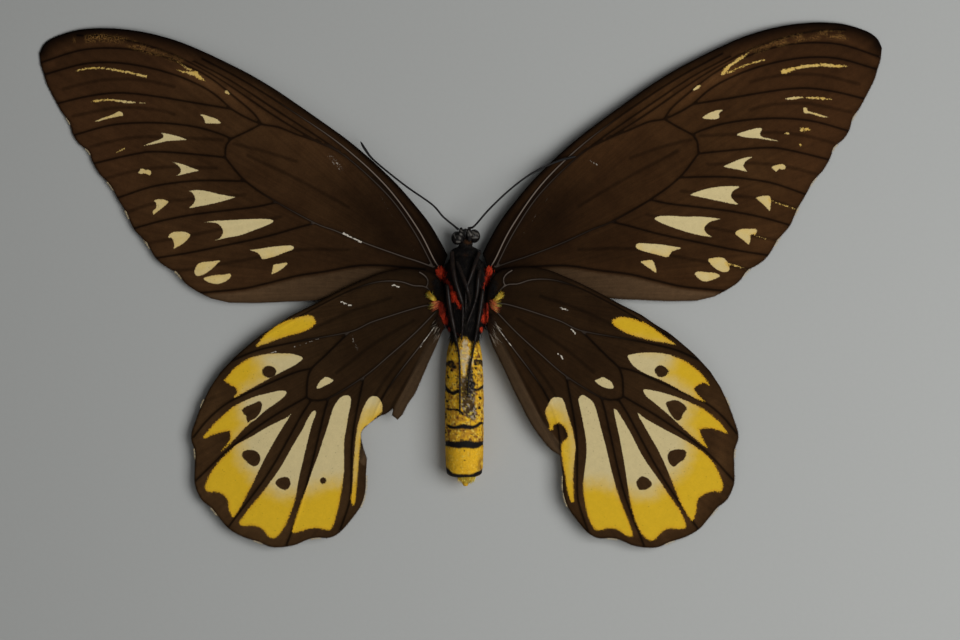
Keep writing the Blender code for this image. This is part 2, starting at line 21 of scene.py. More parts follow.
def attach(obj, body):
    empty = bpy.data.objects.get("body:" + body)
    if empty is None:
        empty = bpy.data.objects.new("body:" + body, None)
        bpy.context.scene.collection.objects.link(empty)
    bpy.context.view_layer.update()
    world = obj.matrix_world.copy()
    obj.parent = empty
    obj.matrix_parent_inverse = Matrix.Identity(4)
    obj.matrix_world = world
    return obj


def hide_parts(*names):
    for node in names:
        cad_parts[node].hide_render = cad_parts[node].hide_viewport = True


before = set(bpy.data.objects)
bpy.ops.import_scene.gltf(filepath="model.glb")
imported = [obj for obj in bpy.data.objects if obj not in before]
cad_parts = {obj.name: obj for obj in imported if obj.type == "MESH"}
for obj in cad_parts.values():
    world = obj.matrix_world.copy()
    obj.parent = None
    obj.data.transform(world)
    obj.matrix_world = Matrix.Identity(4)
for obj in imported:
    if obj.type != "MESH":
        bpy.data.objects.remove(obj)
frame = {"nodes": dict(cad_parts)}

LOG = logging.getLogger("birdwing")
MM = 0.001
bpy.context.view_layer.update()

CAMERA_CENTRE = (4.21, -7.89)
CAMERA_LENS = 180.0
CAMERA_SENSOR = 36.0
VIEW_WIDTH = 252.6
VIEW_PLANE = 0.8

GRID_STEP = 0.5
OUTLINE_STEP = 0.45
RAIL_STEP = 0.5
HALF_MEMBRANE = 0.08
RIDGE_HEIGHT = 0.2
RIDGE_WIDTH = 0.24
FOLD_DEPTH = 0.09
FOLD_WIDTH = 0.4
SEAM_STEP = 0.22
SEAM_REACH = 0.4
RAIL_OFFSETS = (0.0, 0.3, -0.3, 0.62, -0.62)
FLOOR_GAP = 0.05
FOOT_RADIUS = 0.37
NOISE_LENGTH = 4099
PRIMES = np.array((73856093, 19349663, 83492791)) % NOISE_LENGTH

WING_ROOT_Z = 5.0
WING_TIP_Z = 0.42
WING_ROOT_X = 8.0
WING_TIP_X = 108.0
HIND_LIFT_FRONT = 1.35
HIND_LIFT_BACK = 0.5

Points = np.ndarray
Line = Sequence[tuple[float, ...]]

# Right wings as drawn: stretches of x and y, each smoothed on its own.
FORE_OUTLINE = (
    ((4.9, 9.6), (6.6, 13.0), (9.6, 18.2), (13.4, 23.2), (17.6, 28.2), (21.5, 32.2), (25.5, 36.0),
     (30.5, 40.3), (35.8, 44.3), (42.4, 49.1), (48.9, 53.7), (55.5, 57.8), (62.1, 61.3),
     (67.4, 63.9), (72.6, 66.2), (77.9, 68.0), (83.1, 69.3), (88.4, 70.1), (93.7, 70.4),
     (98.9, 70.1), (102.9, 69.2), (106.8, 67.7), (108.9, 66.0), (110.0, 63.7)),
    ((109.7, 61.0), (108.8, 58.1), (108.0, 55.5), (106.6, 52.6), (105.4, 50.3), (103.9, 47.6),
     (102.3, 45.4), (101.3, 42.0), (99.7, 39.6), (97.3, 37.6), (96.4, 35.0), (94.5, 31.6),
     (91.7, 28.5), (90.0, 25.3), (87.5, 21.0), (85.6, 16.8), (82.5, 13.2), (80.0, 9.1),
     (77.4, 6.8), (74.5, 5.1), (72.4, 2.4), (69.5, 0.3), (65.5, -1.8)),
    ((61.3, -2.8), (54.2, -2.9), (46.3, -2.6), (38.9, -2.2), (30.5, -0.8), (22.6, 1.2),
     (15.3, 3.2), (9.5, 4.5)),
    ((6.3, 4.6), (6.0, 6.5)),
)
FORE_VEINS = {
    "subcosta": ((6.6, 5.6), (8.2, 8.0), (12.4, 16.3), (20.3, 27.6), (30.5, 37.6), (42.4, 46.6),
        (55.5, 55.3), (67.9, 62.1)),
    "radius": ((8.4, 6.0), (13.2, 15.3), (20.0, 25.3), (30.5, 35.5), (37.9, 39.7), (43.7, 42.1),
        (48.4, 44.1), (52.6, 44.9), (56.8, 46.8), (60.2, 48.8)),
    "radial_1": ((30.5, 35.5), (37.6, 40.8), (50.3, 49.6), (60.0, 56.0), (70.0, 61.4)),
    "radial_2": ((37.9, 39.7), (48.9, 46.8), (62.1, 55.9), (73.9, 62.5), (81.8, 65.6), (91.0, 67.9),
        (100.2, 68.5)),
    "radial_3": ((52.6, 44.9), (54.7, 47.9), (59.5, 52.1), (65.2, 56.6), (71.3, 60.0), (79.2, 63.1),
        (88.4, 64.9), (98.9, 64.6), (109.6, 61.3)),
    "radial_4": ((60.2, 48.8), (64.2, 52.4), (68.7, 55.1), (75.2, 57.9), (83.1, 60.1), (91.0, 61.2),
        (98.9, 60.8), (108.7, 58.1)),
    "radial_5": ((60.2, 48.8), (70.0, 50.4), (77.9, 51.8), (85.8, 52.9), (91.6, 53.0), (98.4, 52.0),
        (105.4, 50.3)),
    "cross_upper": ((52.6, 44.9), (55.8, 43.0), (60.0, 40.8)),
    "medial_1": ((60.0, 40.8), (62.9, 42.1), (68.7, 43.8), (76.6, 44.9), (84.5, 45.1), (92.3, 44.3),
        (101.3, 41.8)),
    "cross_lower": ((60.0, 40.8), (61.3, 38.9), (61.6, 35.8)),
    "medial_2": ((61.6, 35.8), (66.0, 36.3), (79.2, 37.4), (85.8, 36.7), (96.4, 34.2)),
    "medial_3": ((56.6, 29.5), (62.1, 29.7), (68.7, 29.7), (75.2, 29.1), (81.8, 27.9), (90.0, 25.1)),
    "cubital_1": ((48.9, 23.7), (54.2, 22.6), (62.1, 21.7), (70.0, 20.7), (77.9, 19.2), (85.6, 17.1)),
    "cubital_2": ((38.7, 17.9), (43.7, 16.7), (51.6, 14.6), (62.1, 12.4), (71.3, 10.5), (80.0, 9.1)),
    "cubitus": ((8.4, 6.0), (12.6, 7.5), (16.6, 8.8), (25.3, 12.1), (33.2, 15.7), (38.7, 17.9),
        (48.9, 23.7), (56.6, 29.5), (61.6, 35.8)),
    "anal": ((10.5, 5.4), (14.7, 5.7), (21.3, 6.3), (27.9, 6.3), (35.8, 5.1), (43.7, 4.1), (51.6, 2.2),
        (58.1, 0.8), (69.5, -0.3)),
}
FORE_FOLDS = {
    "apical": ((75.2, 54.7), (82.0, 56.3), (88.0, 56.8), (95.0, 56.4), (104.0, 54.2)),
    "subapical": ((75.2, 47.4), (80.5, 48.7), (89.2, 49.2), (96.3, 48.0), (101.8, 46.8)),
    "median": ((62.1, 40.5), (72.6, 41.0), (83.1, 41.4), (91.0, 40.3), (97.1, 38.7)),
    "cell": ((43.7, 34.7), (52.0, 37.6), (59.5, 39.5)),
    "cell_low": ((30.0, 22.0), (42.0, 29.0), (56.0, 36.5)),
    "lower_1": ((64.0, 33.0), (76.0, 33.4), (86.0, 32.2), (94.0, 30.0)),
    "lower_2": ((57.0, 26.0), (68.0, 25.0), (80.0, 23.8), (88.0, 21.2)),
    "lower_3": ((48.0, 19.8), (60.0, 17.4), (74.0, 14.6), (83.0, 13.0)),
    "lower_4": ((30.0, 10.6), (44.0, 10.8), (60.0, 8.0), (77.0, 5.2)),
}
HIND_OUTLINE = (
    ((6.0, -2.8), (6.3, 0.0), (7.3, 3.0), (9.8, 5.2), (14.7, 6.0), (18.7, 5.9), (22.6, 5.1),
     (25.8, 3.8), (30.0, 2.0), (35.8, -0.9), (41.0, -3.7), (46.3, -6.4), (50.3, -9.1),
     (53.7, -11.2), (56.8, -13.7), (60.8, -17.2), (64.7, -21.4)),
    ((67.1, -25.1), (69.2, -29.5), (70.8, -33.7), (72.1, -38.4), (71.0, -42.4), (71.0, -47.1),
     (70.9, -51.0), (69.2, -54.9), (66.6, -57.1), (64.6, -59.5), (61.8, -62.7), (58.4, -64.7),
     (53.9, -66.2), (50.3, -67.6), (45.0, -67.2), (41.0, -65.6), (38.4, -65.1), (35.3, -65.1),
     (32.6, -63.7), (29.7, -60.4), (27.1, -56.6), (26.0, -52.6), (25.9, -48.7)),
)
HIND_INNER = (
    ((25.1, -43.3), (22.6, -41.6), (20.0, -38.5), (17.4, -34.7), (13.9, -28.0), (12.1, -24.2),
     (9.5, -18.7), (7.1, -13.7), (5.9, -9.5)),
    ((6.2, -6.3),),
)
HIND_INNER_TORN = (
    ((25.7, -44.4), (27.1, -40.0), (27.3, -37.2), (25.3, -34.9), (22.5, -32.9), (21.1, -32.4),
     (19.0, -30.9)),
    ((19.3, -32.7), (17.8, -33.9)),
    ((16.6, -32.6), (15.2, -29.7), (13.4, -27.0), (11.6, -22.8), (9.5, -17.8), (7.6, -13.5),
     (6.0, -9.5)),
    ((6.2, -6.3),),
)
HIND_VEINS = {
    "humeral": ((10.8, 1.1), (10.3, 2.6), (11.1, 4.1), (12.6, 5.1)),
    "subcosta": ((7.4, -2.4), (10.8, 1.1), (14.2, 1.6), (17.4, 2.6), (21.3, 2.8), (25.3, 2.2), (30.5, 0.4),
        (36.3, -2.4), (42.4, -5.7), (48.4, -9.3), (53.9, -12.2)),
    "radius": ((7.4, -3.4), (10.8, -3.7), (14.7, -4.7), (20.0, -6.4), (25.3, -8.2), (30.8, -10.7),
        (42.4, -12.8), (48.9, -14.1), (55.5, -15.7), (61.6, -18.3)),
    "cell_end": ((30.8, -10.7), (37.1, -17.0), (40.5, -20.3), (41.6, -23.2), (41.8, -27.9)),
    "medial_1": ((40.5, -20.3), (45.0, -21.4), (51.6, -24.2), (58.1, -27.1), (63.4, -29.6), (67.9, -33.2),
        (71.8, -37.9)),
    "medial_2": ((41.8, -27.9), (51.6, -33.7), (62.9, -41.8), (70.8, -50.0)),
    "medial_3": ((40.5, -28.7), (42.9, -32.4), (46.3, -38.7), (50.3, -46.0), (54.7, -53.1), (61.6, -62.9)),
    "cubital_1": ((36.0, -28.2), (37.1, -32.1), (38.4, -37.9), (42.1, -53.4), (47.4, -67.4)),
    "cubital_2": ((26.8, -22.6), (28.9, -33.7), (29.7, -40.8), (29.7, -48.7), (30.0, -55.3),
        (32.6, -63.4)),
    "cubitus": ((7.4, -4.5), (13.4, -10.8), (20.0, -16.8), (26.8, -22.6), (36.0, -28.2), (40.5, -28.7),
        (41.8, -27.9)),
    "anal": ((7.0, -6.8), (9.5, -10.8), (13.4, -16.0), (17.4, -21.3), (21.3, -27.1), (24.2, -33.7),
        (25.5, -42.6)),
}
HIND_FOLDS = {
    "cell": ((14.0, -7.6), (24.0, -13.6), (34.0, -21.5)),
    "costal": ((20.0, -1.6), (30.0, -5.0), (40.0, -9.6)),
    "cubital": ((16.0, -16.0), (24.5, -29.0), (27.5, -44.0)),
    "strip": ((8.2, -10.5), (14.8, -22.4), (18.2, -28.2), (21.3, -35.5), (25.3, -42.1)),
}
# Maps from the right wings to the left ones, and landmarks that fit the veins to each.
FORE_LEFT = ((-1.0209, -0.0028, 0.734), (-0.0030, 0.9877, -0.354))
HIND_LEFT = ((-0.9983, 0.0153, 0.895), (-0.0009, 0.9911, -0.432))
AS_DRAWN = ((1.0, 0.0, 0.0), (0.0, 1.0, 0.0))
FORE_PINS_RIGHT = ((101.3, 41.8), (96.4, 34.2), (90.0, 25.1), (85.6, 17.1), (80.0, 8.9), (38.7, 17.9),
                   (48.9, 23.7), (56.6, 29.5), (52.6, 44.9), (60.0, 40.8), (16.6, 8.8), (25.3, 12.1),
                   (33.2, 15.7))
FORE_PINS_LEFT = ((-102.3, 40.9), (-97.6, 33.2), (-91.2, 24.2), (-86.9, 16.1), (-81.0, 8.2),
                  (-38.8, 17.5), (-48.9, 23.1), (-57.4, 28.4), (-52.9, 43.3), (-61.6, 39.9),
                  (-16.6, 9.1), (-25.5, 12.3), (-34.1, 15.6))
HIND_PINS_RIGHT = ((26.8, -22.6), (71.0, -42.6), (65.5, -57.9), (72.1, -38.4), (50.3, -67.6))
HIND_PINS_LEFT = ((-26.2, -22.7), (-70.4, -43.4), (-66.2, -57.0), (-71.3, -39.4), (-49.1, -67.0))

# Marks and the dark spots in them: closed outlines of x and y, each where it lies.
FORE_MARKS_RIGHT = {
    "chip": ((60.0, 52.5), (61.3, 53.7), (62.4, 53.8), (61.6, 52.9), (60.5, 52.4)),
    "fork": ((67.4, 56.4), (68.1, 58.0), (70.2, 59.7), (72.6, 61.3), (75.0, 62.4), (73.1, 60.6),
        (70.5, 58.9), (69.2, 57.6), (68.4, 56.6)),
    "fork_streak": ((69.2, 57.2), (71.8, 58.5), (75.2, 59.7), (78.7, 60.6), (78.9, 60.2), (75.5, 59.3),
        (72.1, 58.1), (69.7, 56.9)),
    "bar": ((83.1, 57.2), (83.9, 58.1), (87.1, 58.8), (91.0, 59.4), (95.0, 59.6), (100.2, 59.1),
        (101.0, 58.8), (98.4, 58.5), (93.7, 58.7), (89.7, 58.3), (86.6, 57.6), (84.2, 56.8)),
    "thread": ((84.5, 50.4), (86.3, 50.8), (88.9, 50.9), (89.2, 50.5), (87.1, 50.1), (85.0, 50.0)),
    "thread_end": ((90.0, 50.7), (92.3, 50.9), (96.6, 50.4), (96.6, 50.0), (93.1, 50.0), (90.5, 50.3)),
    "wedge": ((62.7, 45.4), (64.2, 46.4), (66.6, 47.3), (68.1, 47.3), (67.1, 46.4), (67.0, 45.1),
        (65.2, 44.8), (63.1, 45.0)),
    "tick": ((89.2, 47.9), (90.2, 47.9), (90.6, 47.1), (93.1, 46.4), (96.0, 45.4), (93.4, 45.6),
        (91.0, 46.4), (89.5, 46.5)),
    "barb": ((71.8, 41.0), (74.7, 42.0), (77.1, 42.6), (78.4, 42.4), (77.9, 41.2), (78.4, 40.3),
        (80.5, 39.8), (83.1, 39.1), (80.5, 39.3), (77.6, 39.8), (74.7, 40.0), (72.2, 40.5)),
    "fleck_1": ((84.2, 41.3), (85.2, 41.4), (86.0, 41.0), (85.2, 40.8), (84.5, 40.9)),
    "fleck_2": ((88.4, 42.8), (89.5, 42.6), (90.0, 42.8), (91.4, 42.2), (90.0, 41.8), (88.5, 41.7)),
    "dash": ((87.9, 38.4), (88.4, 38.5), (88.9, 38.0), (88.4, 37.9)),
    "arrow_1": ((68.3, 32.5), (70.8, 33.7), (73.4, 34.7), (75.8, 35.0), (74.2, 33.9), (73.5, 32.6),
        (74.4, 31.1), (72.1, 31.6), (69.7, 32.0)),
    "bean": ((80.8, 32.3), (82.1, 32.9), (83.9, 33.1), (84.7, 32.2), (83.9, 31.6), (82.9, 31.8),
        (82.1, 31.1), (81.3, 31.7)),
    "arrow_2": ((59.5, 25.1), (62.6, 26.3), (65.8, 27.0), (68.7, 27.3), (72.4, 27.2), (70.8, 26.0),
        (70.2, 24.7), (70.8, 23.7), (72.1, 22.4), (69.5, 22.8), (65.2, 23.7), (61.3, 24.5)),
    "tooth_1": ((76.7, 24.3), (78.7, 24.8), (80.2, 24.8), (80.8, 23.7), (80.6, 22.1), (80.3, 20.8),
        (78.7, 22.4), (77.2, 23.7)),
    "tooth_tail_1": ((80.5, 23.8), (83.1, 22.8), (85.8, 21.9), (87.3, 21.2), (85.5, 21.6), (83.1, 22.5),
        (80.6, 23.4)),
    "arrow_3": ((50.0, 18.7), (51.3, 19.4), (54.2, 19.5), (58.1, 19.3), (62.1, 19.3), (67.4, 18.7),
        (65.0, 18.0), (63.7, 17.1), (63.2, 16.0), (63.8, 14.9), (65.1, 13.9), (62.1, 14.3), (58.1, 15.3),
        (54.2, 16.6), (51.3, 17.8)),
    "tooth_2": ((71.2, 15.0), (72.6, 16.0), (74.7, 16.1), (76.9, 16.0), (76.7, 14.7), (75.5, 14.5),
        (75.3, 13.4), (74.9, 11.9), (73.7, 12.8), (72.1, 14.0)),
    "tooth_tail_2": ((76.6, 14.6), (79.2, 13.6), (81.8, 12.8), (79.2, 13.3), (76.6, 14.2)),
    "arrow_4": ((45.1, 11.6), (45.8, 12.3), (48.4, 12.2), (51.6, 12.0), (54.2, 11.6), (57.1, 11.0),
        (54.7, 10.1), (53.5, 8.6), (50.5, 9.3), (47.6, 10.0), (45.5, 10.8)),
    "flake": ((46.4, 7.4), (47.9, 7.8), (49.7, 7.6), (50.6, 4.5), (48.9, 5.5), (47.4, 6.5)),
    "leaf_1": ((64.1, 7.9), (65.8, 8.5), (68.1, 8.5), (69.2, 7.4), (69.8, 5.8), (69.5, 4.9), (67.9, 4.7),
        (65.8, 5.8)),
    "leaf_tail": ((68.9, 7.2), (71.6, 6.6), (74.2, 5.4), (71.6, 6.1), (69.2, 6.7)),
    "leaf_2": ((60.6, 4.2), (61.6, 4.9), (63.7, 4.7), (66.0, 4.5), (67.3, 3.7), (65.8, 2.8), (63.7, 2.2),
        (62.1, 2.6)),
}
FORE_MARKS_LEFT = {
    "bar": ((-102.3, 57.7), (-100.5, 58.3), (-98.0, 58.6), (-95.0, 58.6), (-92.4, 58.3), (-89.9, 57.9),
        (-87.4, 57.4), (-85.3, 56.9), (-83.8, 56.6), (-83.3, 56.2), (-83.7, 55.8), (-84.6, 55.9),
        (-86.1, 56.4), (-87.9, 56.8), (-90.4, 57.3), (-92.9, 57.8), (-95.0, 58.1), (-97.5, 58.1),
        (-99.5, 58.0), (-101.3, 57.6)),
    "fork": ((-75.5, 57.9), (-73.7, 57.6), (-71.7, 57.6), (-70.3, 57.5), (-69.3, 56.6), (-68.5, 55.6),
        (-67.8, 54.8), (-68.6, 55.0), (-69.7, 55.4), (-71.2, 56.2), (-72.7, 56.8), (-74.2, 57.2)),
    "fork_streak": ((-75.8, 60.5), (-74.5, 59.6), (-72.7, 58.5), (-71.1, 57.6), (-71.9, 57.6),
        (-73.5, 58.4), (-74.9, 59.5)),
    "chip": ((-62.9, 52.2), (-62.3, 52.5), (-61.6, 51.7), (-61.4, 51.2), (-62.1, 51.4), (-62.7, 51.7)),
    "thread": ((-98.6, 49.6), (-96.5, 50.1), (-93.9, 50.3), (-91.4, 50.1), (-88.9, 49.9), (-86.5, 49.5),
        (-86.7, 49.1), (-88.9, 49.0), (-90.4, 49.3), (-92.4, 49.6), (-94.5, 49.7), (-97.0, 49.4)),
    "thread_end": ((-85.5, 49.4), (-83.8, 49.3), (-83.9, 48.9), (-85.3, 49.0)),
    "tick": ((-97.1, 44.4), (-95.0, 45.3), (-92.9, 46.0), (-91.6, 46.6), (-91.2, 46.9), (-90.4, 47.0),
        (-89.8, 46.6), (-89.6, 46.0), (-90.0, 45.7), (-90.7, 45.7), (-91.4, 45.5), (-92.9, 45.2),
        (-95.0, 44.7), (-96.2, 44.3)),
    "wedge": ((-69.5, 46.1), (-68.4, 46.1), (-66.9, 45.6), (-65.1, 45.0), (-63.9, 44.0), (-64.3, 43.7),
        (-66.1, 43.7), (-67.9, 43.8), (-68.2, 44.5), (-68.6, 45.4)),
    "barb": ((-79.6, 41.3), (-78.3, 41.2), (-76.2, 40.7), (-74.2, 40.1), (-72.9, 39.5), (-74.7, 39.3),
        (-76.7, 39.2), (-78.5, 39.0), (-80.3, 38.6), (-82.3, 38.2), (-84.3, 37.9), (-82.6, 38.7),
        (-80.8, 39.3), (-79.5, 39.9), (-79.0, 40.5)),
    "dash": ((-91.4, 36.3), (-90.2, 37.0), (-89.3, 37.5), (-89.1, 37.2), (-89.9, 36.6), (-90.9, 36.2)),
    "arrow_1": ((-77.1, 33.8), (-75.7, 33.5), (-73.7, 33.0), (-71.7, 32.2), (-69.6, 31.4), (-71.2, 31.0),
        (-73.2, 30.5), (-75.6, 30.0), (-74.7, 30.7), (-74.5, 31.7), (-75.1, 32.6), (-76.2, 33.4)),
    "bean": ((-85.8, 30.8), (-85.3, 31.4), (-85.0, 31.9), (-84.3, 31.9), (-83.8, 31.6), (-83.2, 31.7),
        (-82.4, 31.4), (-82.2, 30.7), (-82.7, 30.1), (-83.5, 30.5), (-84.3, 30.6), (-85.0, 30.5)),
    "arrow_2": ((-72.3, 26.1), (-69.7, 26.3), (-67.1, 25.9), (-64.6, 25.3), (-62.1, 24.8), (-60.1, 24.4),
        (-61.6, 23.8), (-64.1, 23.1), (-67.1, 22.4), (-69.7, 21.9), (-72.3, 21.5), (-71.2, 22.6),
        (-70.7, 23.8), (-71.1, 25.1), (-71.7, 25.7)),
    "tooth_1": ((-81.5, 23.6), (-79.8, 23.9), (-78.3, 23.6), (-77.6, 23.2), (-78.2, 22.5), (-79.3, 21.5),
        (-80.5, 20.6), (-81.6, 19.8), (-81.8, 20.8), (-81.0, 21.6), (-81.0, 22.8)),
    "arrow_3": ((-68.5, 17.8), (-65.6, 18.2), (-61.6, 18.4), (-55.2, 18.7), (-51.0, 18.6), (-50.0, 18.0),
        (-51.4, 17.1), (-55.2, 15.6), (-59.0, 14.3), (-62.1, 13.7), (-65.5, 13.0), (-64.1, 13.7),
        (-63.4, 15.0), (-63.6, 16.2), (-64.6, 17.3), (-66.1, 17.7)),
    "tooth_2": ((-77.6, 14.4), (-76.5, 15.2), (-74.2, 15.4), (-72.7, 15.1), (-71.9, 14.4), (-72.6, 13.3),
        (-73.7, 12.3), (-75.0, 11.5), (-76.3, 10.8), (-76.2, 11.9), (-76.6, 13.2), (-77.0, 13.7),
        (-77.7, 13.7)),
    "leaf_1": ((-70.9, 4.6), (-70.6, 5.7), (-70.1, 6.7), (-68.9, 7.3), (-67.1, 7.5), (-65.1, 7.7),
        (-64.0, 7.7), (-64.8, 6.9), (-65.9, 5.8), (-67.1, 4.8), (-68.6, 3.9), (-70.2, 3.7)),
    "leaf_2": ((-68.5, 3.1), (-67.1, 3.6), (-65.1, 4.0), (-63.1, 4.1), (-61.6, 4.3), (-61.1, 3.8),
        (-61.8, 2.8), (-63.1, 2.0), (-64.9, 1.5), (-66.6, 1.8), (-67.9, 2.4)),
    "arrow_4": ((-56.2, 10.5), (-54.0, 10.8), (-51.0, 11.3), (-48.1, 11.6), (-45.5, 11.7), (-44.6, 11.2),
        (-45.1, 10.5), (-46.8, 9.9), (-49.3, 8.9), (-51.4, 8.3), (-53.0, 8.1), (-53.6, 9.1), (-54.6, 9.9)),
    "flake": ((-50.0, 6.6), (-48.5, 6.9), (-47.0, 7.2), (-46.3, 6.9), (-47.0, 6.1), (-48.5, 5.0),
        (-50.5, 4.1), (-50.3, 5.3)),
}
HIND_MARKS_RIGHT = {
    "A": ((38.9, -8.0), (40.3, -7.2), (42.4, -7.1), (44.7, -7.7), (47.6, -8.7), (50.5, -10.5),
        (52.9, -12.4), (55.5, -14.3), (52.9, -13.9), (49.7, -13.4), (46.3, -12.6), (43.1, -11.6),
        (40.3, -10.1), (39.0, -8.9)),
    "B": ((42.9, -17.5), (44.2, -16.8), (47.1, -16.4), (50.3, -16.4), (53.7, -16.9), (57.1, -18.2),
        (60.2, -20.1), (62.9, -22.6), (64.5, -25.1), (63.1, -24.5), (61.6, -24.9), (60.6, -26.0),
        (61.6, -27.6), (63.4, -29.5), (60.5, -28.3), (56.8, -26.4), (52.1, -23.9), (47.6, -22.0),
        (44.5, -20.0)),
    "C": ((47.0, -26.3), (48.4, -26.1), (52.1, -26.9), (56.8, -28.4), (62.1, -30.8), (65.5, -33.2),
        (67.9, -35.5), (69.2, -37.7), (66.8, -36.9), (64.5, -36.4), (62.1, -36.6), (62.6, -38.7),
        (63.9, -41.5), (61.3, -39.6), (57.9, -36.7), (53.7, -32.8), (49.5, -29.3), (47.8, -27.9)),
    "D": ((45.5, -32.4), (47.9, -33.9), (51.6, -36.0), (56.3, -38.5), (60.8, -41.1), (64.7, -44.3),
        (66.8, -47.5), (68.1, -51.2), (67.4, -53.0), (65.8, -52.9), (63.7, -53.4), (61.8, -54.7),
        (61.2, -56.3), (61.0, -58.4), (60.2, -60.4), (59.2, -60.0), (56.8, -55.8), (54.2, -49.3),
        (51.6, -43.4), (48.9, -38.5)),
    "E": ((39.3, -31.8), (39.9, -31.4), (40.8, -32.5), (43.7, -37.4), (47.1, -43.9), (51.0, -49.5),
        (54.7, -55.0), (57.1, -58.5), (58.4, -62.1), (56.6, -62.8), (53.7, -62.7), (51.8, -63.8),
        (50.3, -65.4), (48.9, -65.8), (47.4, -64.9), (45.8, -62.6), (44.5, -59.2), (43.4, -54.5),
        (42.1, -46.0), (40.8, -38.9)),
    "F": ((30.0, -28.9), (30.4, -27.9), (31.2, -27.5), (32.4, -28.1), (33.7, -29.2), (34.6, -31.0),
        (35.8, -35.5), (37.4, -41.6), (38.9, -47.9), (41.0, -55.0), (43.4, -61.0), (44.3, -64.5),
        (42.6, -64.5), (40.3, -63.0), (37.9, -62.6), (35.5, -63.1), (34.1, -62.6), (32.6, -59.7),
        (31.6, -55.3), (31.2, -51.6), (31.6, -47.4), (32.1, -42.6), (31.8, -38.1), (30.5, -31.6)),
    "G": ((22.5, -29.2), (23.4, -28.2), (25.3, -28.2), (26.2, -29.1), (27.4, -32.9), (28.7, -37.4),
        (29.3, -41.3), (28.9, -46.0), (28.7, -50.5), (28.9, -55.3), (27.9, -55.3), (27.0, -52.1),
        (26.4, -48.1), (25.8, -44.7), (25.5, -42.1), (25.8, -40.0), (27.1, -38.7), (27.0, -37.4),
        (26.3, -36.0), (25.3, -35.1), (24.5, -35.0), (23.4, -35.7), (23.5, -36.6), (22.4, -36.8),
        (22.4, -35.4), (21.8, -33.9), (21.3, -31.8)),
    "cell": ((34.3, -23.7), (35.3, -23.3), (36.4, -22.8), (37.6, -23.4), (38.7, -24.1), (39.3, -25.7),
        (37.9, -25.9), (36.3, -25.4), (35.0, -24.6)),
}
HIND_SPOTS_RIGHT = {
    "B": ((50.0, -21.3), (50.3, -20.4), (51.2, -19.8), (52.1, -19.8), (53.3, -20.6), (53.8, -21.4),
        (53.1, -22.4), (52.1, -22.9), (50.9, -22.7)),
    "C": ((53.0, -29.9), (53.7, -29.2), (55.5, -28.9), (57.1, -29.5), (58.5, -30.9), (58.0, -32.0),
        (57.4, -32.8), (57.1, -33.8), (56.3, -34.3), (55.3, -33.9), (54.1, -32.4)),
    "D": ((53.4, -43.8), (53.8, -42.6), (54.9, -42.0), (56.6, -41.8), (58.0, -42.1), (58.4, -43.1),
        (57.8, -44.5), (56.6, -45.3), (55.5, -46.3), (54.7, -46.3), (53.8, -45.3)),
    "E": ((45.2, -50.6), (45.8, -49.5), (46.7, -48.9), (47.9, -49.2), (49.1, -50.3), (49.3, -51.2),
        (48.4, -52.1), (47.2, -52.5), (45.9, -52.3)),
}
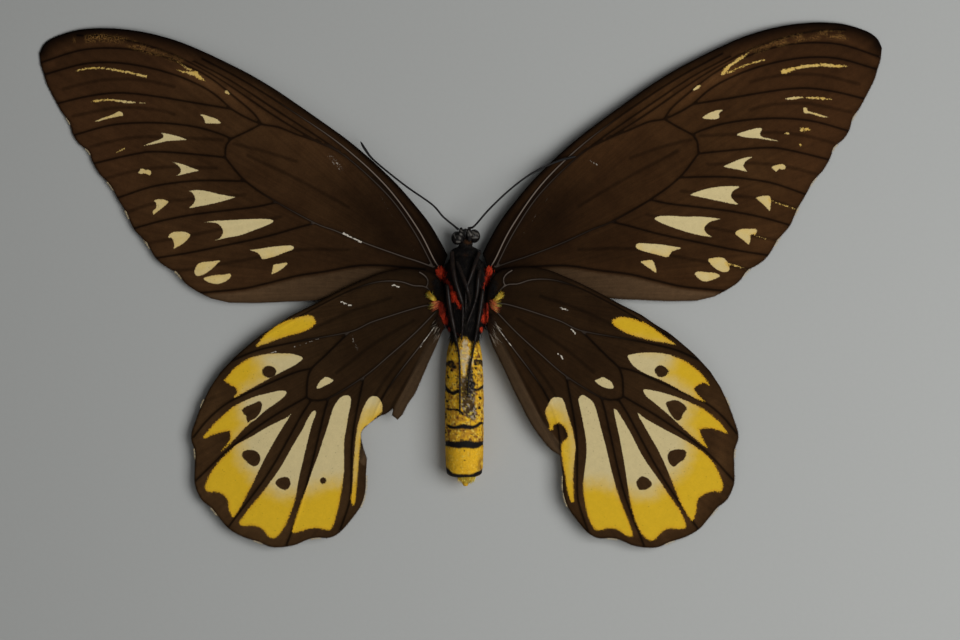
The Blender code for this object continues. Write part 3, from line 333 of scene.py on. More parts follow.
HIND_MARKS_LEFT = {
    "A": ((-54.6, -14.9), (-53.5, -13.2), (-52.1, -11.6), (-50.2, -10.0), (-47.9, -8.6), (-45.1, -7.6),
        (-42.8, -7.0), (-40.9, -6.6), (-39.5, -7.0), (-38.9, -7.9), (-38.9, -8.8), (-40.0, -10.0),
        (-41.9, -10.9), (-44.6, -11.7), (-47.4, -12.5), (-50.2, -13.5), (-52.5, -14.3)),
    "B": ((-63.0, -23.7), (-62.0, -22.5), (-60.7, -20.9), (-58.8, -19.4), (-56.5, -18.0), (-53.7, -17.1),
        (-50.9, -16.7), (-48.1, -16.6), (-45.3, -16.7), (-43.3, -17.2), (-42.2, -17.9), (-43.0, -18.8),
        (-44.6, -19.9), (-46.7, -21.0), (-49.1, -22.2), (-51.6, -23.6), (-54.9, -25.4), (-57.6, -26.9),
        (-60.0, -28.2), (-60.4, -27.9), (-59.6, -26.9), (-60.0, -25.7), (-61.3, -25.0), (-62.3, -24.3)),
    "C": ((-68.5, -38.6), (-67.4, -37.1), (-65.5, -35.0), (-63.4, -33.0), (-60.7, -30.7), (-57.6, -29.1),
        (-54.4, -27.8), (-51.1, -27.0), (-48.4, -26.4), (-46.7, -26.5), (-46.6, -27.3), (-47.7, -28.5),
        (-49.5, -29.9), (-51.4, -31.2), (-53.0, -32.5), (-54.4, -33.8), (-55.5, -34.6), (-56.7, -35.5),
        (-58.1, -36.9), (-59.7, -38.6), (-61.8, -40.8), (-63.8, -42.4), (-62.5, -40.8), (-61.6, -39.4),
        (-61.4, -38.0), (-61.7, -37.1), (-63.2, -37.3), (-65.1, -37.8), (-66.7, -38.4), (-67.8, -39.0)),
    "D": ((-45.3, -32.5), (-46.5, -33.4), (-49.3, -34.8), (-52.1, -36.2), (-54.9, -37.9), (-57.6, -39.4),
        (-60.0, -40.8), (-62.0, -42.7), (-63.9, -44.5), (-65.5, -46.4), (-66.7, -48.2), (-67.6, -50.3),
        (-68.1, -51.9), (-67.4, -53.0), (-65.8, -53.1), (-64.1, -53.3), (-62.7, -54.3), (-62.0, -55.7),
        (-61.8, -57.5), (-61.0, -59.5), (-60.2, -59.4), (-58.6, -57.0), (-57.2, -54.3), (-55.3, -50.6),
        (-53.5, -46.8), (-51.6, -43.1), (-49.3, -39.0), (-47.4, -35.9)),
    "E": ((-39.1, -31.6), (-40.0, -32.2), (-41.2, -34.1), (-42.3, -36.4), (-44.0, -39.2), (-46.0, -42.7),
        (-48.1, -46.4), (-50.7, -50.1), (-53.5, -53.8), (-56.2, -57.0), (-58.3, -59.8), (-59.1, -61.2),
        (-58.1, -62.0), (-56.2, -61.9), (-54.4, -62.1), (-53.0, -62.8), (-51.8, -64.2), (-50.9, -65.1),
        (-49.8, -65.2), (-48.4, -64.2), (-47.0, -62.1), (-45.6, -58.9), (-44.2, -54.7), (-43.3, -49.6),
        (-42.1, -44.5), (-40.9, -39.4), (-39.8, -35.2), (-38.8, -32.5)),
    "F": ((-31.0, -27.6), (-32.4, -28.2), (-33.5, -29.5), (-34.4, -31.1), (-35.1, -33.4), (-36.1, -36.6),
        (-37.2, -39.9), (-38.4, -43.6), (-39.8, -47.3), (-41.2, -51.5), (-42.8, -55.7), (-44.2, -59.8),
        (-45.1, -63.2), (-44.7, -63.8), (-43.3, -63.5), (-40.9, -62.8), (-38.9, -62.5), (-36.8, -62.8),
        (-35.4, -63.1), (-34.4, -62.1), (-33.5, -59.4), (-32.6, -55.7), (-31.9, -51.5), (-31.4, -47.3),
        (-31.4, -44.5), (-31.4, -41.7), (-31.3, -39.0), (-30.8, -36.2), (-30.2, -32.5), (-29.6, -29.7),
        (-29.8, -28.0)),
    "G": ((-24.9, -28.3), (-23.5, -27.8), (-22.2, -28.4), (-21.4, -30.1), (-21.5, -32.0), (-22.4, -32.9),
        (-23.5, -33.9), (-24.5, -35.0), (-25.2, -35.7), (-26.1, -36.4), (-26.6, -37.6), (-27.0, -39.4),
        (-27.3, -41.7), (-27.5, -44.1), (-27.7, -46.8), (-28.0, -50.1), (-28.2, -52.9), (-28.6, -55.7),
        (-29.1, -56.5), (-29.6, -55.2), (-29.3, -51.9), (-29.1, -48.2), (-28.9, -44.5), (-28.6, -40.8),
        (-28.2, -37.1), (-27.3, -33.4), (-26.3, -30.6)),
    "cell": ((-38.6, -25.3), (-37.9, -24.1), (-37.0, -23.2), (-36.1, -22.8), (-34.9, -23.2),
        (-34.2, -23.7), (-34.9, -24.4), (-36.3, -25.1), (-37.7, -25.8), (-38.6, -25.9)),
}
HIND_SPOTS_LEFT = {
    "B": ((-53.0, -21.6), (-52.5, -20.4), (-51.4, -19.9), (-50.0, -20.2), (-49.2, -21.3), (-49.7, -22.5),
        (-51.1, -23.1), (-52.4, -22.6)),
    "C": ((-58.3, -31.5), (-57.4, -30.7), (-55.5, -29.9), (-53.7, -29.2), (-53.0, -30.1), (-53.4, -32.0),
        (-54.6, -33.6), (-55.8, -34.2), (-56.6, -34.9), (-57.1, -34.3), (-57.2, -33.2), (-57.9, -32.5)),
    "D": ((-58.3, -43.6), (-57.9, -42.4), (-56.7, -42.0), (-55.1, -42.1), (-53.9, -42.9), (-53.4, -44.3),
        (-53.9, -45.7), (-54.9, -46.3), (-56.2, -45.9), (-57.2, -45.0)),
    "E": ((-49.5, -50.6), (-48.8, -49.6), (-47.4, -49.1), (-46.0, -49.3), (-45.5, -50.6), (-45.8, -51.7),
        (-46.7, -52.5), (-48.1, -52.2), (-49.1, -51.4)),
    "F": ((-37.8, -50.1), (-37.5, -49.4), (-36.5, -49.2), (-36.1, -50.0), (-36.5, -50.8), (-37.3, -50.9)),
    "G": ((-27.0, -37.7), (-26.5, -36.5), (-25.6, -35.9), (-24.7, -35.6), (-25.2, -36.4), (-25.9, -37.3),
        (-26.5, -38.7), (-26.9, -39.4)),
}


class Tint(Enum):
    """Named colours of scales and hair, as linear red, green and blue."""

    BLACK = (0.010, 0.0085, 0.008)
    UMBER = (0.028, 0.017, 0.010)
    BROWN = (0.036, 0.016, 0.0068)
    SCARLET = (0.84, 0.066, 0.022)
    BRICK = (0.34, 0.030, 0.013)
    CORAL = (0.68, 0.15, 0.06)
    GOLDEN = (0.82, 0.46, 0.020)
    STRAW = (0.95, 0.72, 0.13)
    AMBER = (0.46, 0.22, 0.024)
    RUSSET = (0.20, 0.075, 0.016)
    CREAM = (0.62, 0.50, 0.30)
    PEARL = (0.42, 0.35, 0.27)
    GREY = (0.27, 0.25, 0.22)

    def array(self) -> Points:
        """The colour as an array."""
        return np.array(self.value, float)


# Patches of colour on the skin: x, y, half width, half length, strength, colour.
PATCHES = (
    (-5.7, 4.7, 0.9, 1.5, 0.9, Tint.SCARLET), (-5.0, 2.9, 0.6, 0.8, 0.7, Tint.BRICK),
    (-3.6, 1.1, 0.5, 1.0, 0.7, Tint.BRICK), (-2.7, -1.5, 0.75, 1.1, 0.9, Tint.SCARLET),
    (-1.2, -4.0, 0.5, 0.7, 0.8, Tint.SCARLET), (-5.5, -5.2, 0.6, 2.6, 0.8, Tint.BRICK),
    (-5.0, -7.5, 0.8, 1.1, 0.8, Tint.SCARLET), (-3.8, -10.3, 0.45, 0.6, 0.8, Tint.BRICK),
    (-1.7, -11.4, 0.35, 0.4, 0.8, Tint.BRICK), (6.5, 5.1, 0.8, 1.4, 0.9, Tint.SCARLET),
    (6.1, 2.7, 0.5, 1.3, 0.8, Tint.SCARLET), (4.9, 0.2, 0.22, 1.5, 0.7, Tint.BRICK),
    (4.4, -2.2, 0.2, 1.2, 0.6, Tint.BRICK), (5.9, -4.2, 0.4, 1.1, 0.8, Tint.BRICK),
    (5.7, -6.7, 0.75, 1.8, 0.9, Tint.SCARLET), (4.7, -10.3, 0.4, 0.65, 0.9, Tint.SCARLET),
    (0.9, 12.7, 0.9, 0.7, 0.28, Tint.RUSSET), (0.5, 9.3, 0.8, 0.6, 0.14, Tint.RUSSET),
)
# Tufts: root line from x, y to x, y, its half width, heading in degrees, length, count, colour.
TUFTS = (
    (-6.1, 5.4, -5.5, 3.9, 0.72, 240, 1.1, 760, Tint.SCARLET),
    (-5.5, 3.8, -4.3, 2.1, 0.35, 300, 1.0, 230, Tint.BRICK),
    (-4.2, 2.0, -3.1, 0.2, 0.25, 305, 0.9, 190, Tint.BRICK),
    (-3.1, -0.5, -2.4, -2.0, 0.42, 300, 1.0, 380, Tint.SCARLET),
    (-2.2, -2.6, -1.1, -4.1, 0.26, 310, 0.9, 230, Tint.SCARLET),
    (-6.2, -3.3, -5.6, -5.8, 0.45, 278, 1.3, 420, Tint.BRICK),
    (-5.5, -5.8, -4.9, -7.9, 0.5, 285, 1.2, 480, Tint.SCARLET),
    (-3.9, -9.9, -3.8, -10.5, 0.22, 280, 0.8, 110, Tint.BRICK),
    (6.6, 5.8, 6.6, 4.0, 0.55, 262, 1.1, 720, Tint.SCARLET),
    (6.4, 3.5, 5.7, 1.7, 0.3, 252, 1.0, 280, Tint.SCARLET),
    (5.3, 1.2, 4.5, -2.4, 0.13, 258, 0.9, 230, Tint.BRICK),
    (6.1, -3.5, 5.8, -5.4, 0.3, 262, 1.1, 280, Tint.BRICK),
    (5.9, -5.4, 5.4, -7.9, 0.45, 262, 1.2, 560, Tint.SCARLET),
    (4.6, -9.9, 4.7, -10.6, 0.25, 262, 0.8, 150, Tint.SCARLET),
    (-7.3, -2.9, -8.6, -1.6, 0.28, 139, 1.9, 240, Tint.GOLDEN),
    (-7.4, -2.8, -8.5, -1.7, 0.2, 139, 1.9, 260, Tint.STRAW),
    (7.8, -3.1, 9.1, -1.8, 0.30, 41, 1.9, 240, Tint.GOLDEN),
    (7.9, -3.0, 9.0, -1.9, 0.2, 41, 1.9, 260, Tint.STRAW),
    (-6.5, -2.8, -7.0, -4.7, 0.34, 203, 2.2, 95, Tint.CORAL),
    (6.9, -2.9, 7.2, -4.8, 0.34, -17, 2.4, 100, Tint.CORAL),
    (-6.9, -2.8, -7.3, -4.6, 0.25, 190, 2.4, 20, Tint.STRAW),
    (7.2, -2.8, 7.5, -4.6, 0.25, -12, 2.6, 22, Tint.STRAW),
    (-7.0, 2.6, -6.3, -1.5, 0.7, 205, 1.3, 200, Tint.BLACK),
    (7.6, 2.6, 7.0, -1.5, 0.7, -25, 1.3, 200, Tint.BLACK),
    (-6.4, -6.6, -4.9, -11.4, 0.5, 228, 2.3, 420, Tint.BROWN),
    (7.0, -6.6, 5.6, -11.4, 0.5, -48, 2.3, 420, Tint.BROWN),
    (-7.2, -7.4, -6.2, -12.4, 0.6, 234, 3.2, 22, Tint.PEARL),
    (7.8, -7.4, 6.8, -12.4, 0.6, -54, 3.2, 22, Tint.PEARL),
    (-3.6, -11.2, -2.3, -12.4, 0.7, 272, 2.6, 420, Tint.BLACK),
    (4.2, -11.2, 2.9, -12.4, 0.7, 268, 2.6, 420, Tint.BLACK),
)
# Dark lines on the abdomen: rows of x, y and half width.
STROKES = (
    ((-4.9, -19.3, 0.3), (-4.2, -19.4, 0.45), (-3.4, -19.0, 0.5), (-2.8, -19.8, 0.6),
     (-2.2, -20.3, 0.35)), ((-3.5, -20.0, 0.3), (-3.2, -21.1, 0.25)),
    ((2.9, -18.6, 0.35), (3.5, -18.9, 0.6), (4.3, -18.8, 0.4), (4.9, -19.4, 0.45)),
    ((3.1, -19.4, 0.3), (3.2, -20.5, 0.25)),
    ((-5.3, -24.7, 0.26), (-4.7, -25.7, 0.34), (-3.8, -26.6, 0.38), (-2.8, -27.0, 0.42),
     (-1.9, -26.6, 0.4), (-1.2, -26.5, 0.3)),
    ((5.3, -24.9, 0.25), (4.3, -25.8, 0.32), (3.2, -26.2, 0.3), (2.2, -25.8, 0.35), (2.4, -24.6, 0.55)),
    ((-4.5, -31.1, 0.16), (-3.6, -31.3, 0.26), (-2.4, -31.3, 0.26), (-1.2, -31.6, 0.22),
     (-0.3, -32.4, 0.25)), ((3.1, -31.1, 0.25), (3.9, -31.0, 0.2)),
    ((2.4, -30.8, 0.3), (2.7, -31.0, 0.2)),
    ((-4.4, -35.3, 0.18), (-3.4, -35.9, 0.34), (-2.0, -36.0, 0.4), (-0.5, -35.7, 0.5), (1.0, -35.8, 0.53),
     (2.2, -36.0, 0.4), (3.4, -35.5, 0.32), (4.3, -34.9, 0.28), (5.0, -34.9, 0.16)),
    ((-5.1, -40.1, 0.42), (-4.2, -40.2, 0.64), (-2.0, -40.5, 0.74), (0.5, -40.3, 0.84),
     (3.0, -40.6, 0.74), (4.3, -40.2, 0.56), (5.4, -39.9, 0.28)),
    ((-5.0, -46.8, 0.36), (-4.3, -47.5, 0.54), (-3.3, -48.3, 0.52), (-1.8, -48.8, 0.55),
     (0.0, -48.9, 0.58), (2.0, -48.7, 0.5), (3.6, -48.1, 0.46), (5.2, -47.5, 0.5)),
    ((-5.0, -28.2, 0.2), (-4.4, -29.1, 0.26)), ((-4.3, -22.4, 0.16), (-4.1, -22.9, 0.2)),
    ((-4.8, -32.5, 0.22), (-4.7, -33.3, 0.2)), ((-4.9, -36.8, 0.15), (-4.8, -37.3, 0.15)),
    ((4.1, -28.1, 0.22), (4.3, -28.4, 0.2)), ((4.0, -30.7, 0.22), (4.2, -30.9, 0.2)),
    ((4.3, -22.3, 0.16), (4.5, -22.8, 0.16)), ((1.5, -48.8, 0.2), (1.9, -49.7, 0.12)),
    ((-1.2, -48.9, 0.2), (-0.9, -49.6, 0.12)), ((0.1, -42.0, 0.1), (0.2, -44.6, 0.1)),
    ((2.1, -17.6, 0.12), (2.1, -20.6, 0.22), (1.9, -24.0, 0.36), (1.6, -27.6, 0.4), (1.3, -30.4, 0.16)),
    ((-2.4, -12.4, 0.3), (-2.2, -14.0, 0.2), (-2.0, -15.8, 0.1)),
    ((-1.3, -12.4, 0.2), (-1.1, -14.2, 0.1)), ((2.3, -12.4, 0.26), (2.2, -14.2, 0.2), (2.1, -16.4, 0.1)),
    ((3.2, -12.4, 0.25), (3.0, -14.6, 0.1)), ((-3.4, -12.6, 0.25), (-3.3, -14.0, 0.1)),
    ((-3.0, -16.8, 0.12), (-2.9, -18.6, 0.14)), ((2.9, -16.6, 0.1), (3.0, -18.4, 0.14)),
    ((-2.1, -22.4, 0.1), (-1.9, -24.4, 0.14)),
)
# Pale streaks on the head: from x, y to x, y, and half width.
HEAD_STREAKS = (
    (0.0, 15.3, -0.15, 14.2, 0.13), (0.45, 15.7, 1.2, 14.2, 0.15), (1.15, 15.4, 1.9, 14.3, 0.15),
    (2.3, 15.2, 3.2, 14.7, 0.22), (2.2, 14.6, 2.5, 14.2, 0.16), (2.3, 13.65, 3.6, 13.7, 0.17),
    (-1.7, 14.1, -1.1, 13.4, 0.25), (-0.9, 14.6, -0.3, 14.4, 0.2), (-1.8, 12.6, -1.1, 12.6, 0.2),
    (-0.8, 15.6, -0.4, 15.2, 0.13), (-2.6, 14.6, -2.2, 13.6, 0.13), (3.6, 14.8, 3.8, 14.2, 0.13),
)
# The worn cream and the grey down the middle of the abdomen: closed outlines.
MIDLINE = {
    "front": ((0.1, -12.4), (0.8, -13.4), (1.2, -15.6), (1.8, -17.3), (1.9, -18.4), (1.4, -20.0),
              (1.0, -22.0), (0.8, -24.4), (0.0, -24.8), (-0.5, -22.2), (-0.8, -19.5), (-1.2, -17.4),
              (-0.8, -16.0), (-0.3, -14.4)),
    "side": ((2.2, -17.6), (2.7, -18.5), (2.7, -20.5), (2.3, -22.6), (1.9, -21.0), (1.9, -19.0)),
}
ASHEN = {
    "middle": ((-0.9, -22.8), (0.4, -22.2), (1.2, -18.6), (2.0, -18.6), (2.6, -22.0), (2.9, -26.0),
               (2.8, -30.5), (3.4, -32.6), (2.2, -34.2), (0.8, -33.4), (-0.2, -32.2), (-0.9, -29.5)),
}
# Pale notches of the margins: x, y and radius.
FORE_NOTCHES = ((103.1, 45.3, 1.7), (97.1, 37.9, 1.7), (91.8, 28.4, 1.7), (87.3, 20.8, 1.7),
                (82.1, 12.9, 1.7), (74.2, 4.7, 1.7))
HIND_NOTCHES = ((68.9, -29.7, 1.6), (70.8, -42.9, 1.8), (65.5, -57.9, 1.8), (53.9, -65.9, 1.8),
                (38.9, -65.1, 1.8), (26.2, -50.5, 3.0), (27.0, -55.0, 2.5))
# Where the hindwing's marks are golden: a closed outline.
HIND_GILT = (
    (20.0, -33.4), (27.4, -33.4), (28.9, -38.7), (30.0, -49.5), (35.8, -50.5), (47.1, -53.7),
    (53.7, -50.0), (57.9, -45.5), (59.5, -39.5), (57.6, -35.3), (59.5, -28.9), (55.8, -25.0), (52.6, -22.1),
    (54.7, -16.3), (46.3, -14.5), (37.1, -11.8), (37.1, -5.3), (62.1, -5.3), (77.9, -23.7),
    (77.9, -71.0), (20.0, -71.0),
)
# Lines that golden scales are scattered along.
FORE_DUST_RIGHT = ((73.0, 61.6), (79.0, 63.8), (85.0, 65.6), (90.0, 66.7), (95.5, 67.2), (100.5, 66.9))
FORE_DUST_LEFT = ((-101.8, 65.6), (-95.5, 66.4), (-89.0, 65.4), (-84.0, 63.3), (-78.0, 61.5),
                  (-73.0, 59.6))
# Ground's brightness over the distance from the root, the front edge or the margin, and
# streaks along the front edge: strength, reach from the root, reach from the front edge.
HIND_GROUND = ((8.0, 20.0, 30.0, 40.0, 50.0, 60.0, 70.0, 82.0),
               (0.37, 0.50, 0.585, 0.65, 0.82, 0.95, 1.08, 1.28))
HIND_FRONT = ((0.0, 0.6, 1.6, 3.0), (0.6, 0.72, 0.88, 1.0))
HIND_STREAKS = ((1.1, (24.0, 32.0, 46.0, 56.0), (0.3, 0.8, 1.3, 1.9)),)
# Painted shadow on the right hindwing, over the distance from the margin and from the front edge.
HIND_SHADOW_EDGE = ((0.0, 0.8, 2.2, 3.5, 6.0), (0.25, 0.12, 0.07, -0.10, 0.0))
HIND_SHADOW_FRONT = ((0.0, 4.0, 8.0, 13.0), (0.16, 0.20, 0.12, 0.0))
FORE_GROUND = ((8.0, 20.0, 30.0, 45.0, 55.0, 65.0, 82.0, 97.0, 112.0),
               (0.22, 0.54, 0.60, 0.87, 1.04, 1.11, 1.22, 1.15, 1.06))
FORE_FRONT = ((0.0, 0.5, 1.1, 1.7, 2.4, 3.2, 4.3, 6.5, 11.0, 16.0),
              (0.15, 0.26, 0.40, 0.52, 0.60, 0.78, 1.12, 1.14, 1.05, 1.0))
# The forewing's darker tip, here and in FORE_GROUND past 82 mm, is partly the wing's tone and partly
# painted shade.
FORE_TIP = ((0.0, 1.2, 2.4, 3.4, 4.3, 6.0, 9.0, 14.0), (0.5, 0.45, 0.12, 0.10, 0.14, 0.38, 0.2, 0.0))
FORE_STREAKS = ((-0.38, (-2.0, -1.0, 30.0, 52.0), (1.9, 2.4, 10.0, 18.0)),
                (0.45, (18.0, 28.0, 48.0, 60.0), (0.5, 0.9, 1.8, 2.2)),
                (0.55, (48.0, 60.0, 78.0, 92.0), (1.5, 2.0, 2.6, 3.2)),
                (0.5, (70.0, 79.0, 90.0, 97.0), (2.8, 3.8, 7.0, 12.0)))
FRAYED_MARKS = ("fork", "fork_streak", "bar", "thread", "thread_end", "fleck_1", "fleck_2", "dash",
                "tooth_tail_1", "tooth_tail_2", "leaf_tail")
# Rubbed places: from x, y to x, y, width and strength.
SCUFFS = {
    "forewing_right": ((33.2, 33.9, 35.0, 32.9, 0.5, 0.55), (24.9, 28.1, 14.2, 12.8, 0.3, 0.42)),
    "forewing_left": ((-31.8, 14.9, -27.1, 12.6, 0.35, 1.0), (-35.3, 35.5, -32.1, 31.6, 1.6, 0.42),
                      (-22.7, 25.8, -12.8, 9.7, 0.3, 0.42)),
    "hindwing_right": ((25.3, -4.7, 27.1, -5.3, 0.35, 0.9), (28.2, -10.3, 29.2, -11.6, 0.35, 0.9),
                       (24.7, -16.6, 26.0, -18.2, 0.35, 0.9), (8.4, -9.2, 12.5, -14.8, 0.25, 0.7)),
    "hindwing_left": ((-32.1, -3.2, -29.5, -4.2, 0.35, 0.9), (-18.9, 1.3, -17.1, 0.8, 0.35, 0.9),
                      (-29.5, -11.8, -27.9, -15.8, 0.9, 0.42), (-45.5, -15.3, -37.2, -12.5, 0.2, 0.6),
                      (-50.8, -16.5, -48.4, -16.0, 0.25, 0.7), (-7.4, -9.4, -11.5, -15.0, 0.25, 0.7)),
}
# Eyes: centre, radii and brightness; the right eye's lower brightness is painted shade.
EYES = {
    "eye_left": ((-1.76, 13.6, 5.8), (1.6, 1.8, 1.9), 0.8),
    "eye_right": ((2.66, 14.1, 5.8), (1.6, 1.8, 1.9), 0.6),
}
# Antennae and palps: rows of x, y, z and radius.
ANTENNAE = {
    "antenna_left": ((-1.45, 15.8, 5.9, 0.34), (-2.6, 16.8, 6.3, 0.28), (-5.5, 19.2, 6.8, 0.27),
                     (-8.4, 22.4, 6.9, 0.26), (-15.5, 27.4, 6.8, 0.26), (-23.3, 33.7, 6.4, 0.27),
                     (-25.8, 36.7, 6.2, 0.36), (-27.1, 38.9, 6.1, 0.26)),
    "antenna_right": ((1.6, 16.2, 5.8, 0.34), (2.9, 16.9, 6.3, 0.28), (6.8, 21.3, 6.9, 0.27),
                      (12.1, 26.3, 6.7, 0.26), (17.4, 30.3, 6.3, 0.26), (22.6, 32.9, 5.9, 0.27),
                      (26.0, 34.2, 5.6, 0.36), (29.4, 35.0, 5.5, 0.28)),
}
PALPS = {
    "palp_left": ((-0.75, 12.6, 8.55, 0.45), (-0.9, 14.0, 8.9, 0.62), (-0.8, 15.5, 8.4, 0.5),
                  (-0.65, 16.3, 7.6, 0.3)),
    "palp_right": ((1.35, 12.6, 8.55, 0.45), (1.5, 14.0, 8.9, 0.62), (1.4, 15.6, 8.4, 0.5),
                   (1.25, 16.4, 7.6, 0.3)),
}
COIL_CENTRE = (0.31, 15.0, 9.4)
COIL_INNER = 0.32
COIL_PITCH = 0.62
COIL_TURNS = 1.3
COIL_RADIUS = 0.25
COIL_END = 250.0
# Fur: count, stretch of y, lengths, width, how far it stands off and how much it strays.
FUR = {
    "head": (3200, (10.6, 15.3), (0.4, 0.8), 0.1, 0.45, 0.5),
    "thorax": (15000, (-12.6, 10.8), (0.8, 1.5), 0.12, 0.42, 0.45),
    "abdomen": (15000, (-51.0, -12.2), (0.3, 0.55), 0.12, 0.16, 0.18),
}
# Legs seen from above: rows of x, y and radius.
LEGS = {
    "foreleg_left": ((-3.2, 10.2, 0.62), (-2.9, 6.2, 0.7), (-2.1, 1.8, 0.62), (-0.75, -2.4, 0.5),
                     (-0.3, -4.4, 0.34), (-0.35, -9.2, 0.3), (-0.6, -13.0, 0.27)),
    "midleg_left": ((-1.9, 7.4, 0.5), (-0.3, 3.4, 0.55), (0.9, 0.2, 0.5), (1.5, -2.2, 0.36),
                    (1.6, -4.0, 0.28)),
    "hindleg_left": ((-4.4, 1.4, 0.5), (-3.8, -4.0, 0.6), (-2.7, -9.6, 0.5), (-1.9, -13.6, 0.34),
                     (-1.2, -18.0, 0.3), (-1.05, -25.0, 0.28), (-1.05, -32.2, 0.26)),
    "foreleg_right": ((4.1, 10.0, 0.55), (3.0, 7.2, 0.55), (1.84, 3.7, 0.45), (0.62, 0.2, 0.34),
                      (0.5, -2.8, 0.28), (0.45, -5.4, 0.26)),
    "midleg_right": ((4.2, 5.4, 0.45), (3.7, 2.8, 0.55), (3.5, 0.0, 0.5), (3.2, -2.1, 0.38),
                     (2.5, -4.4, 0.32), (1.6, -6.8, 0.28), (0.95, -8.6, 0.26)),
    "hindleg_right": ((5.0, 0.3, 0.45), (4.6, -2.6, 0.58), (4.1, -6.0, 0.56), (3.5, -10.0, 0.42),
                      (2.5, -15.4, 0.32), (1.5, -21.4, 0.28), (1.0, -27.6, 0.26)),
}


def smooth_line(points: Line, spacing: float | None = None, closed: bool = False,
                steps: int = 8) -> Points:
    """A Catmull-Rom line through points.

    Args:
        points: the stations, with any number of columns.
        spacing: distance between the returned rows, or None for steps per span.
        closed: whether the line returns to its start.
        steps: rows per span.

    Returns:
        The rows of the line.
    """
    known = np.array(points, float)
    if len(known) < 3:
        rows = known
    else:
        if closed:
            ends = np.vstack([known[-1:], known, known[:2]])
        else:
            ends = np.vstack([2 * known[0] - known[1], known, 2 * known[-1] - known[-2]])
        share = (np.arange(steps) / steps)[None, :, None]
        a, b, c, d = (ends[k:len(ends) - 3 + k, None, :] for k in range(4))
        rows = 0.5 * (2 * b + (c - a) * share + (2 * a - 5 * b + 4 * c - d) * share ** 2
                      + (3 * b - a - 3 * c + d) * share ** 3)
        rows = rows.reshape(-1, known.shape[1])
        rows = np.vstack([rows, known[:1] if closed else known[-1:]])
    if spacing is None:
        return rows
    lengths = travelled(rows)
    count = max(2, round(lengths[-1] / spacing) + 1)
    wanted = np.linspace(0.0, lengths[-1], count)
    return np.stack([np.interp(wanted, lengths, rows[:, k]) for k in range(rows.shape[1])], axis=1)


def ramp(values: Points, low: float, high: float) -> Points:
    """A smooth step from 0 at low to 1 at high."""
    share = np.clip((values - low) / (high - low), 0.0, 1.0)
    return share * share * (3.0 - 2.0 * share)


def fade(values: Points, low: float, high: float) -> Points:
    """A smooth step from 1 at low to 0 at high."""
    return 1.0 - ramp(values, low, high)


def band(values: Points, low: float, risen: float, falling: float, high: float) -> Points:
    """1 from risen to falling, with a smooth step on each side."""
    return ramp(values, low, risen) * fade(values, falling, high)


def tapered(along: Points, low: float, high: float) -> Points:
    """A smooth rise from each end of a rod."""
    return np.minimum(ramp(along, low, high), ramp(along[-1] - along, low, high))


def settle(values: Points, reach: int) -> Points:
    """Values smoothed along their length."""
    padded = np.pad(values, reach, mode="edge")
    kernel = np.hanning(2 * reach + 3)[1:-1]
    return np.convolve(padded, kernel / kernel.sum(), mode="valid")


def travelled(line: Points) -> Points:
    """Distance along a line at each of its points."""
    return np.concatenate([[0.0], np.cumsum(np.linalg.norm(np.diff(line, axis=0), axis=1))])


def unit(rows: Points) -> Points:
    """Each row at a length of 1."""
    return rows / (np.linalg.norm(rows, axis=1, keepdims=True) + 1e-9)


def mottle(points: Points, size: Any, seed: int) -> Points:
    """Smooth random numbers from 0 to 1 over space.

    Args:
        points: rows of two or three numbers.
        size: width of one blotch, or one width for each direction.
        seed: picks the pattern.

    Returns:
        One number a point.
    """
    table = np.random.default_rng(seed).random(NOISE_LENGTH)
    cells = points / size
    low = np.floor(cells).astype(int)
    part = cells - low
    part = part * part * (3.0 - 2.0 * part)
    total = np.zeros(len(points))
    for corner in np.ndindex(*(2,) * points.shape[1]):
        weight = np.prod(np.where(corner, part, 1.0 - part), axis=1)
        total += weight * table[((low + corner) @ PRIMES[:points.shape[1]]) % NOISE_LENGTH]
    return total


def line_distance(points: Points, line: Points, reach: float = 30.0) -> Points:
    """Distance in the plane from each point to a polyline, up to a reach.

    Args:
        points: rows of x and y.
        line: rows of x and y.
        reach: the largest distance that is worked out.

    Returns:
        One distance a point.
    """
    best = np.full(len(points), reach)
    near = np.all((points > line.min(axis=0) - reach) & (points < line.max(axis=0) + reach), axis=1)
    kept = points[near]
    found = best[near]
    for start, end in zip(line, line[1:]):
        along = end - start
        share = np.clip((kept - start) @ along / max(along @ along, 1e-12), 0.0, 1.0)
        away = kept - start - share[:, None] * along
        found = np.minimum(found, np.sqrt(np.einsum("ij,ij->i", away, away)))
    best[near] = found
    return best


def thinned(line: Points, stride: int) -> Points:
    """Every so many points of a line, and always its last one."""
    return line[sorted({*range(0, len(line), stride), len(line) - 1})]


def inside(points: Points, polygon: Points) -> Points:
    """True for each point inside the polygon."""
    found = np.zeros(len(points), bool)
    for (x1, y1), (x2, y2) in zip(polygon, np.roll(polygon, -1, axis=0)):
        crosses = (y1 > points[:, 1]) != (y2 > points[:, 1])
        where = (x2 - x1) * (points[:, 1] - y1) / (y2 - y1 + 1e-12) + x1
        found ^= crosses & (points[:, 0] < where)
    return found


def depth_inside(points: Points, shapes: dict[str, Line], reach: float = 2.5) -> Points:
    """How deep each point lies in any of the closed shapes, negative outside them."""
    best = np.full(len(points), -reach)
    for outline in shapes.values():
        edge = smooth_line(outline, closed=True, steps=5)
        near = np.all((points > edge.min(axis=0) - reach) & (points < edge.max(axis=0) + reach), axis=1)
        kept = points[near]
        away = line_distance(kept, edge, reach)
        best[near] = np.maximum(best[near], np.where(inside(kept, edge[:-1]), away, -away))
    return best


